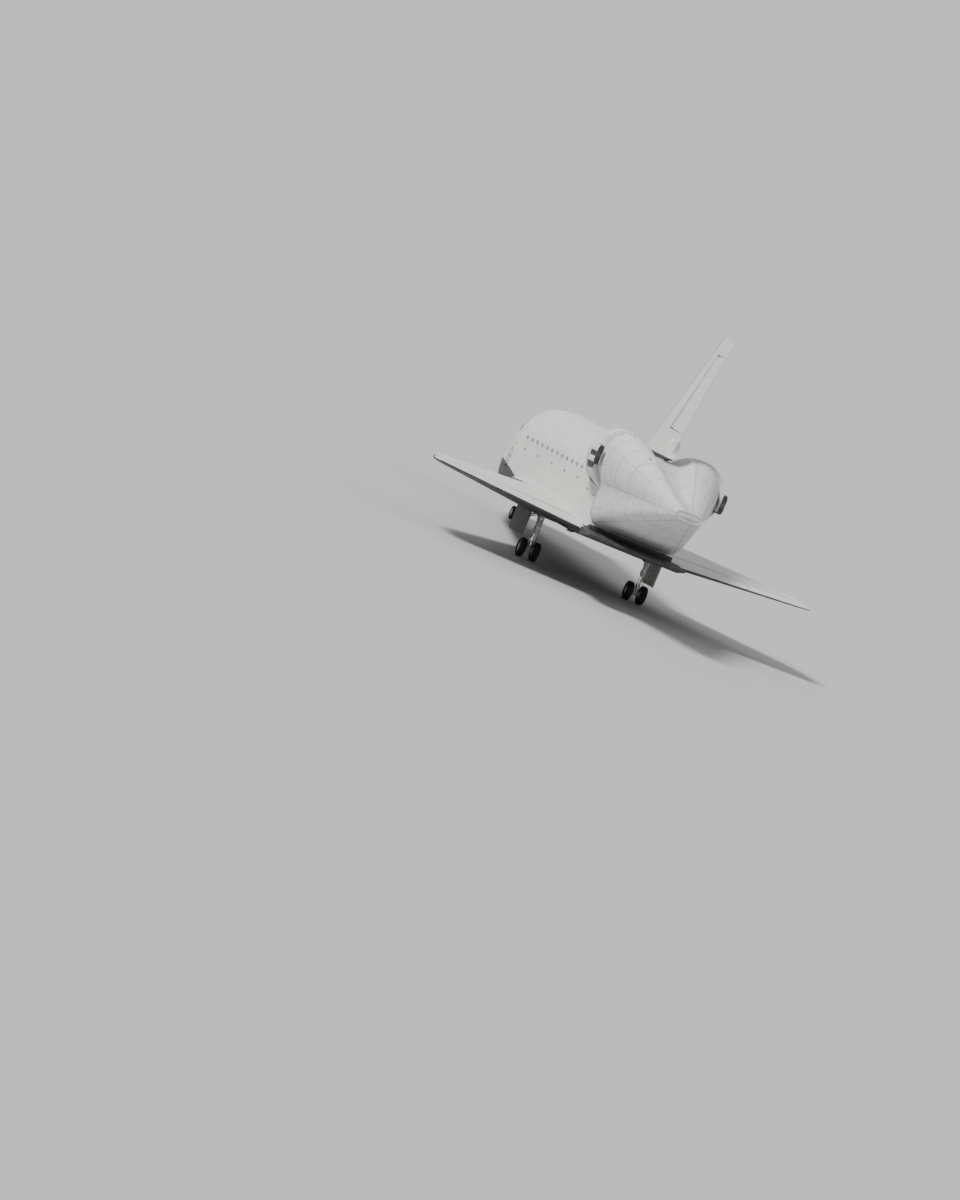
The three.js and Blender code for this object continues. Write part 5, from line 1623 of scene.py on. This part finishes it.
def nose_gear_fittings():
    """The nose leg's polished sleeve, pipes, lamps and links, and the ribs inside its doors."""
    top, foot = 322, NOSE["height"]
    line = leg_line((368, 0, top), (362, 0, foot))

    def down(height, forward=0.0, aside=0.0):
        return line((top - height) / (top - foot), forward, aside)

    low = foot + 5
    knee = (258 + low) / 2
    sleeve = rod(down(248), down(low), 3.52, sides=28)
    finished("nose_piston_sleeve", sleeve, ["gear_chrome"], "nose_steering")
    links = bmesh.new()
    for aside in (-2.2, 2.2):
        append(links, rod(down(258, -3.4, aside), down(knee, -10.5, aside * 0.6), 1.0, 0.8))
        append(links, rod(down(knee, -10.5, aside * 0.6), down(low + 1, -3.0, aside), 0.8, 1.0))
    append(links, rod(down(knee, -10.5, -3.2), down(knee, -10.5, 3.2), 0.8), 1)
    finished("nose_torque_links", links, ["gear_paint", "bare_metal"], "nose_steering")

    fixed = bmesh.new()
    for aside in (-4.2, 4.2):
        append(fixed, pipe([down(316, -3, aside), down(292, -5.2, aside), down(268, -5.4, aside)], 0.4))
        for height in (300, 284):
            append(fixed, block((2, 1.4, 1.4), down(height, -4.9, aside)), 1)
    append(fixed, rod(down(276, 0, -8.4), down(276, 0, 8.4), 2.3, sides=20), 2)
    for _, sign in SIDES:
        append(fixed, rod(down(276, 0, 8.2 * sign), down(276, 0, 12.4 * sign), 1.4), 1)
        for station in (306, 330, 356):
            link = [(station, left * sign, height) for left, height in ((18.5, 312), (20, 304), (19.9, 292))]
            append(fixed, pipe(link, 0.8), 2)
            append(fixed, block((2.6, 0.9, 7), (station, 20.0 * sign, 289)), 2)
        for height in (266, 279, 292):
            append(fixed, block((70, 0.9, 1.0), (335, 20.1 * sign, height)), 3)
    finished("nose_gear_fittings", fixed, ["rubber_hose", "bare_metal", "gear_paint", "bay_primer"],
             "airframe")


def fitting_collars():
    """Collars and bolts round the carrying fittings under the hull."""
    hull = surface(*HULL)
    shape = bmesh.new()
    for station, left, radius in CARRIERS:
        inner = radius + 0.3
        beside = left + (radius + 3 if left <= 0 else -radius - 3)
        height = where(cast(hull, at(station, beside, 200), way(0, 0, 1))[0])[2]
        collar = spun(((inner, 0.3), (radius + 2.6, 0.3), (radius + 2.6, -0.7), (radius + 1.6, -1.2),
                       (inner, -1.2)), 36, closed=True)
        append(shape, moved(collar, standing(station, left, height)))
        for aft, aside in circle(12, radius + 1.9):
            bolt = at(station + aft, left + aside, height - 0.7)
            append(shape, stud(bolt, way(0, 0, -1), 0.45, 0.5), 1)
    finished("fitting_collars", shape, ["black_trim", "bare_metal"], "airframe")


# Solids that get a merged skin: finish, record slot and body. A {0} stands for left and right.
SKINS = (
    ("nose_cap", "nose_carbon", "carbon", "airframe"),
    ("forward_fuselage", "hull_skin", "white_blanket", "airframe"),
    ("crew_hatch", "hull_skin", "white_blanket", "crew_hatch"),
    ("mid_fuselage", "hull_skin", "white_blanket", "airframe"),
    ("aft_fuselage", "hull_skin", "white_blanket", "airframe"),
    ("fin", "fin_skin", "white_blanket", "airframe"),
    ("drag_chute_housing", "fin_skin", "white_blanket", "airframe"),
    ("body_flap", "flap_skin", "black_tile", "body_flap"),
    ("cabin_glazing", "window_pane", "window_glass", "airframe"),
    ("nose_leg", "gear_paint", "gear_white", "airframe"),
    ("nose_brace", "gear_paint", "gear_white", "airframe"),
    ("nose_piston", "gear_paint", "gear_white", "nose_steering"),
)
PAIRED_SKINS = (
    ("wing_{0}", "wing_skin", "white_blanket", "airframe"),
    ("wing_edge_{0}", "carbon_edge", "carbon", "airframe"),
    ("elevon_inner_{0}", "wing_skin", "white_blanket", "elevon_inner_{0}"),
    ("elevon_outer_{0}", "wing_skin", "white_blanket", "elevon_outer_{0}"),
    ("payload_door_{0}", "hull_skin", "white_blanket", "payload_door_{0}"),
    ("radiator_{0}", "radiator_foil", "radiator", "payload_door_{0}"),
    ("rudder_{0}", "fin_skin", "white_blanket", "rudder_{0}"),
    ("oms_pod_{0}", "pod_skin", "white_blanket", "airframe"),
    ("main_leg_{0}", "gear_paint", "gear_white", "airframe"),
    ("main_brace_{0}", "gear_paint", "gear_white", "airframe"),
)
# Solids that stay as they are, by finish.
KEPT = {
    "bare_metal": ("rudder_shaft", "forward_attach_fitting", "aft_attach_fitting_left",
                   "aft_attach_fitting_right"),
    "engine_alloy": ("main_engine_top", "main_engine_left", "main_engine_right"),
    "cabin_trim": ("flight_deck",),
    "gear_door": ("main_door_left", "main_door_right", "nose_door_left", "nose_door_right"),
}

# Settings and steps


class ORBITER_PG_paint(bpy.types.PropertyGroup):
    """Colours of the skins."""

    white: bpy.props.FloatVectorProperty(
        name="White", description="Clean white insulation", default=(0.74, 0.735, 0.71), subtype="COLOR")
    aged: bpy.props.FloatVectorProperty(
        name="Aged white", description="White insulation where it is dirty", default=(0.55, 0.53, 0.49),
        subtype="COLOR")
    black: bpy.props.FloatVectorProperty(
        name="Black", description="Fresh black tiles", default=(0.022, 0.022, 0.024), subtype="COLOR")
    cone: bpy.props.FloatVectorProperty(
        name="Tail cone", description="Paint of the tail cone", default=(0.66, 0.67, 0.675), subtype="COLOR")
    dirt: bpy.props.FloatProperty(
        name="Dirt", description="How weathered the skins are", default=0.5, min=0, max=1)


class ORBITER_PG_details(bpy.types.PropertyGroup):
    """Sizes of the fittings, in inches of the full-size vehicle."""

    window_rim: bpy.props.FloatProperty(
        name="Window frame width", description="Width of the metal round each window", default=2.2, min=0.5)
    window_height: bpy.props.FloatProperty(
        name="Window frame height", description="How far the window frames stand up", default=0.5, min=0.2)
    strap_width: bpy.props.FloatProperty(
        name="Door strap width", description="Width of the seals over the cargo doors' joints",
        default=3.0, min=1)
    strap_height: bpy.props.FloatProperty(
        name="Door strap height", description="How far those seals stand up", default=0.35, min=0.1)
    cone_strap: bpy.props.FloatProperty(
        name="Cone strap width", description="Width of the straps over the tail cone's joints",
        default=2.6, min=1)
    cone_height: bpy.props.FloatProperty(
        name="Cone strap height", description="How far the cone's straps stand up", default=0.3, min=0.1)
    hinges: bpy.props.IntProperty(
        name="Door hinges", description="Hinges along each cargo door", default=13, min=3)
    bolts: bpy.props.IntProperty(
        name="Wheel bolts", description="Bolts round each wheel", default=12, min=4)


class ORBITER_PG_studio(bpy.types.PropertyGroup):
    """The floor, light and camera."""

    floor_radius: bpy.props.FloatProperty(
        name="Floor radius", description="How far the pale floor reaches", default=1500, unit="LENGTH")
    lens: bpy.props.FloatProperty(
        name="Lens", description="Focal length, long enough to flatten the view", default=1200, min=50)
    floor_colour: bpy.props.FloatVectorProperty(
        name="Floor colour", description="Colour of the floor", default=(0.55, 0.543, 0.53), subtype="COLOR")
    key: bpy.props.FloatProperty(
        name="Key light", description="Strength of the soft main light", default=3.9)
    fill: bpy.props.FloatProperty(
        name="Fill light", description="Strength of the soft light from the other side", default=0.8)
    sky: bpy.props.FloatProperty(
        name="Sky light", description="Strength of the light from all round", default=0.36)


class ORBITER_OT_skins(bpy.types.Operator):
    """Make the materials and dress the solids"""

    bl_idname = "orbiter.skins"
    bl_label = "Dress the solids"

    def execute(self, context):
        GROUPS.update(place=place_group(), tiles=tile_group(), quilt=quilt_group(), weather=weather_group(),
                      rivets=rivet_group())
        insulated_finishes()
        other_finishes()
        for node, finish, slot, body in SKINS:
            skin(node, [finish], body)
        for side, _ in SIDES:
            for node, finish, slot, body in PAIRED_SKINS:
                skin(node.format(side), [finish], body.format(side))
        for finish, nodes in KEPT.items():
            for node in nodes:
                NODES[node].data.materials.clear()
                NODES[node].data.materials.append(FINISHES[finish])
        return {"FINISHED"}


class ORBITER_OT_cabin(bpy.types.Operator):
    """Fit the window frames, the crew hatch's trim, the seats and the flight deck's panels"""

    bl_idname = "orbiter.cabin"
    bl_label = "Fit the cabin"

    def execute(self, context):
        details = context.scene.orbiter_details
        window_frames(details.window_rim, details.window_height)
        hatch_fittings()
        seats()
        cabin_panel()
        return {"FINISHED"}


class ORBITER_OT_ports(bpy.types.Operator):
    """Fit the thrusters' mouths, the vents and the frames of the service panels"""

    bl_idname = "orbiter.ports"
    bl_label = "Fit ports and vents"

    def execute(self, context):
        nose_seal()
        nose_ports()
        hull_panels()
        for side, sign in SIDES:
            housing_ports(side, sign)
            vents(side, sign)
        return {"FINISHED"}


class ORBITER_OT_bay(bpy.types.Operator):
    """Fit the cargo doors' straps, hinges and radiator tubes, and the bay's frames and trays"""

    bl_idname = "orbiter.bay"
    bl_label = "Fit the cargo bay"

    def execute(self, context):
        details = context.scene.orbiter_details
        bay_frames()
        bay_trays()
        bay_fittings()
        for side, sign in SIDES:
            door_straps(side, sign, details.strap_width, details.strap_height)
            door_hinges(side, sign, details.hinges)
            radiator_tubes(side, sign)
        return {"FINISHED"}


class ORBITER_OT_cone(bpy.types.Operator):
    """Fit the tail cone's straps, clamp ring, closing ring, panels and lifting eyes"""

    bl_idname = "orbiter.cone"
    bl_label = "Fit the tail cone"

    def execute(self, context):
        details = context.scene.orbiter_details
        cone_skin()
        cone_seams(details.cone_strap, details.cone_height)
        cone_clamp()
        cone_closure()
        cone_panels()
        return {"FINISHED"}


class ORBITER_OT_wings(bpy.types.Operator):
    """Fit the seals of the wings' front edges and the panels over the elevons' hinges"""

    bl_idname = "orbiter.wings"
    bl_label = "Fit the wings"

    def execute(self, context):
        for side, sign in SIDES:
            edge_seals(side, sign)
            hinge_panels(side, sign)
        return {"FINISHED"}


class ORBITER_OT_tail(bpy.types.Operator):
    """Fit the seams of the fin, the rudder, the engine pods and the parachute's housing"""

    bl_idname = "orbiter.tail"
    bl_label = "Fit the tail"

    def execute(self, context):
        fin_seams()
        chute_door_seam()
        for side, sign in SIDES:
            rudder_seams(side, sign)
            pod_seams(side, sign)
        return {"FINISHED"}


class ORBITER_OT_wheels(bpy.types.Operator):
    """Make the grooved tyres and the bolted wheels"""

    bl_idname = "orbiter.wheels"
    bl_label = "Make the wheels"

    def execute(self, context):
        bolts = context.scene.orbiter_details.bolts
        sets = [("nose", NOSE, 0, (-1.2, 1.2))]
        sets += [(f"main_{side}", MAIN, MAIN["out"] * sign, (-2.4, 0, 2.4)) for side, sign in SIDES]
        for label, gear, out, grooves in sets:
            tyres(label, gear, out, grooves, f"{label}_wheels")
            wheels(label, gear, out, f"{label}_wheels", bolts)
        return {"FINISHED"}


class ORBITER_OT_gear(bpy.types.Operator):
    """Fit the legs' polished pistons, pipes, links and door ribs, and the carrying fittings' collars"""

    bl_idname = "orbiter.gear"
    bl_label = "Fit the landing gear"

    def execute(self, context):
        nose_gear_fittings()
        for side, sign in SIDES:
            main_leg_details(side, sign)
            main_door_fittings(side, sign)
        fitting_collars()
        return {"FINISHED"}


# The photograph's view: its size in pixels, and the image's right and down given as (aft, right, up).
VIEW_SIZE = (960, 1200)
VIEW_RIGHT = (0.20235, 0.90124, 0.38317)
VIEW_DOWN = (0.11457, 0.36680, -0.92325)
VIEW_PLACE = (1300, 0, 400)
VIEW_PIXEL = (628.5, 491.7)  # where the view's place falls
VIEW_SCALE = 34.396  # pixels for one metre of the model
SENSOR = 36
# The lamps: name, the way towards it, the setting it takes and its share of that, and spread in degrees.
LAMPS = (("key", (0.55, 0.62, 0.80), "key", 1, 12), ("fill", (0.75, -0.75, 0.42), "fill", 1, 50),
         ("rim", (-0.8, 0.25, 0.55), "fill", 0.7, 40))


def photo_axis(aft, right, up):
    return way(aft, -right, up)


def lay_floor(radius, colour):
    """A plain round floor, very faintly clouded."""
    shape = bmesh.new()
    bmesh.ops.create_circle(shape, cap_ends=True, radius=radius, segments=96)
    mesh = bpy.data.meshes.new("floor")
    shape.to_mesh(mesh)
    shape.free()
    net, shader = finish_of("studio_floor", roughness=0.7, Specular_IOR_Level=0.25)
    place = Signal(net, net.node("ShaderNodeTexCoord").outputs["Object"])
    pale = Vector(colour)
    net.put(shader.inputs["Base Color"], net.mix(net.noise(place, 0.35), pale * 0.985, pale))
    mesh.materials.append(FINISHES["studio_floor"])
    floor = bpy.data.objects.new("floor", mesh)
    bpy.context.scene.collection.objects.link(floor)


def set_lights(studio):
    """Soft light from all round, with three soft lamps."""
    world = bpy.data.worlds.new("studio_light")
    world.use_nodes = True
    sky = world.node_tree.nodes["Background"]
    sky.inputs["Color"].default_value = (0.93, 0.95, 1.0, 1)
    sky.inputs["Strength"].default_value = studio.sky
    bpy.context.scene.world = world
    for name, towards, setting, share, degrees in LAMPS:
        lamp = bpy.data.lights.new(name, "SUN")
        lamp.energy = getattr(studio, setting) * share
        lamp.angle = math.radians(degrees)
        holder = bpy.data.objects.new(name, lamp)
        holder.rotation_euler = way(*towards).to_track_quat("Z", "Y").to_euler()
        bpy.context.scene.collection.objects.link(holder)


def set_camera(focal):
    """The camera at the photograph's angle, as far off as its lens asks."""
    right, down = photo_axis(*VIEW_RIGHT), photo_axis(*VIEW_DOWN)
    down = (down - right * right.dot(down)).normalized()
    back = right.cross(-down)
    middle = at(*VIEW_PLACE)
    for axis, size, pixel in zip((right, down), VIEW_SIZE, VIEW_PIXEL):
        middle += axis * (size / 2 - pixel) / VIEW_SCALE
    lens = bpy.data.cameras.new("camera")
    lens.lens = focal
    lens.sensor_width = SENSOR
    lens.clip_start, lens.clip_end = 10, 9000
    camera = bpy.data.objects.new("camera", lens)
    camera.location = middle + back * max(VIEW_SIZE) * focal / (SENSOR * VIEW_SCALE)
    camera.rotation_euler = Matrix((right, -down, back)).transposed().to_euler()
    bpy.context.scene.collection.objects.link(camera)
    bpy.context.scene.camera = camera


class ORBITER_OT_studio(bpy.types.Operator):
    """Lay the floor and set the light and the camera"""

    bl_idname = "orbiter.studio"
    bl_label = "Set the studio"

    def execute(self, context):
        studio = context.scene.orbiter_studio
        lay_floor(studio.floor_radius, studio.floor_colour)
        set_lights(studio)
        set_camera(studio.lens)
        return {"FINISHED"}


class ORBITER_PT_build(bpy.types.Panel):
    """The steps that dress the orbiter, in order"""

    bl_idname = "ORBITER_PT_build"
    bl_label = "Orbiter"
    bl_space_type = "VIEW_3D"
    bl_region_type = "UI"
    bl_category = "Orbiter"

    def draw(self, context):
        for operator in OPERATORS:
            self.layout.operator(operator.bl_idname)
        for kind, _ in SETTINGS:
            group = getattr(context.scene, kind)
            for name in group.bl_rna.properties.keys():
                if name not in ("rna_type", "name"):
                    self.layout.prop(group, name)


SETTINGS = (("orbiter_paint", ORBITER_PG_paint), ("orbiter_details", ORBITER_PG_details),
            ("orbiter_studio", ORBITER_PG_studio))
OPERATORS = (ORBITER_OT_skins, ORBITER_OT_cabin, ORBITER_OT_ports, ORBITER_OT_bay, ORBITER_OT_cone,
             ORBITER_OT_wings, ORBITER_OT_tail, ORBITER_OT_wheels, ORBITER_OT_gear, ORBITER_OT_studio)
CLASSES = (*(group for _, group in SETTINGS), *OPERATORS, ORBITER_PT_build)


def register():
    for one in CLASSES:
        bpy.utils.register_class(one)
    for name, group in SETTINGS:
        setattr(bpy.types.Scene, name, bpy.props.PointerProperty(type=group))


def unregister():
    for name, _ in SETTINGS:
        delattr(bpy.types.Scene, name)
    for one in reversed(CLASSES):
        bpy.utils.unregister_class(one)


def main():
    register()
    for operator in OPERATORS:
        getattr(bpy.ops.orbiter, operator.bl_idname.split(".")[1])()


if __name__ == "__main__":
    main()
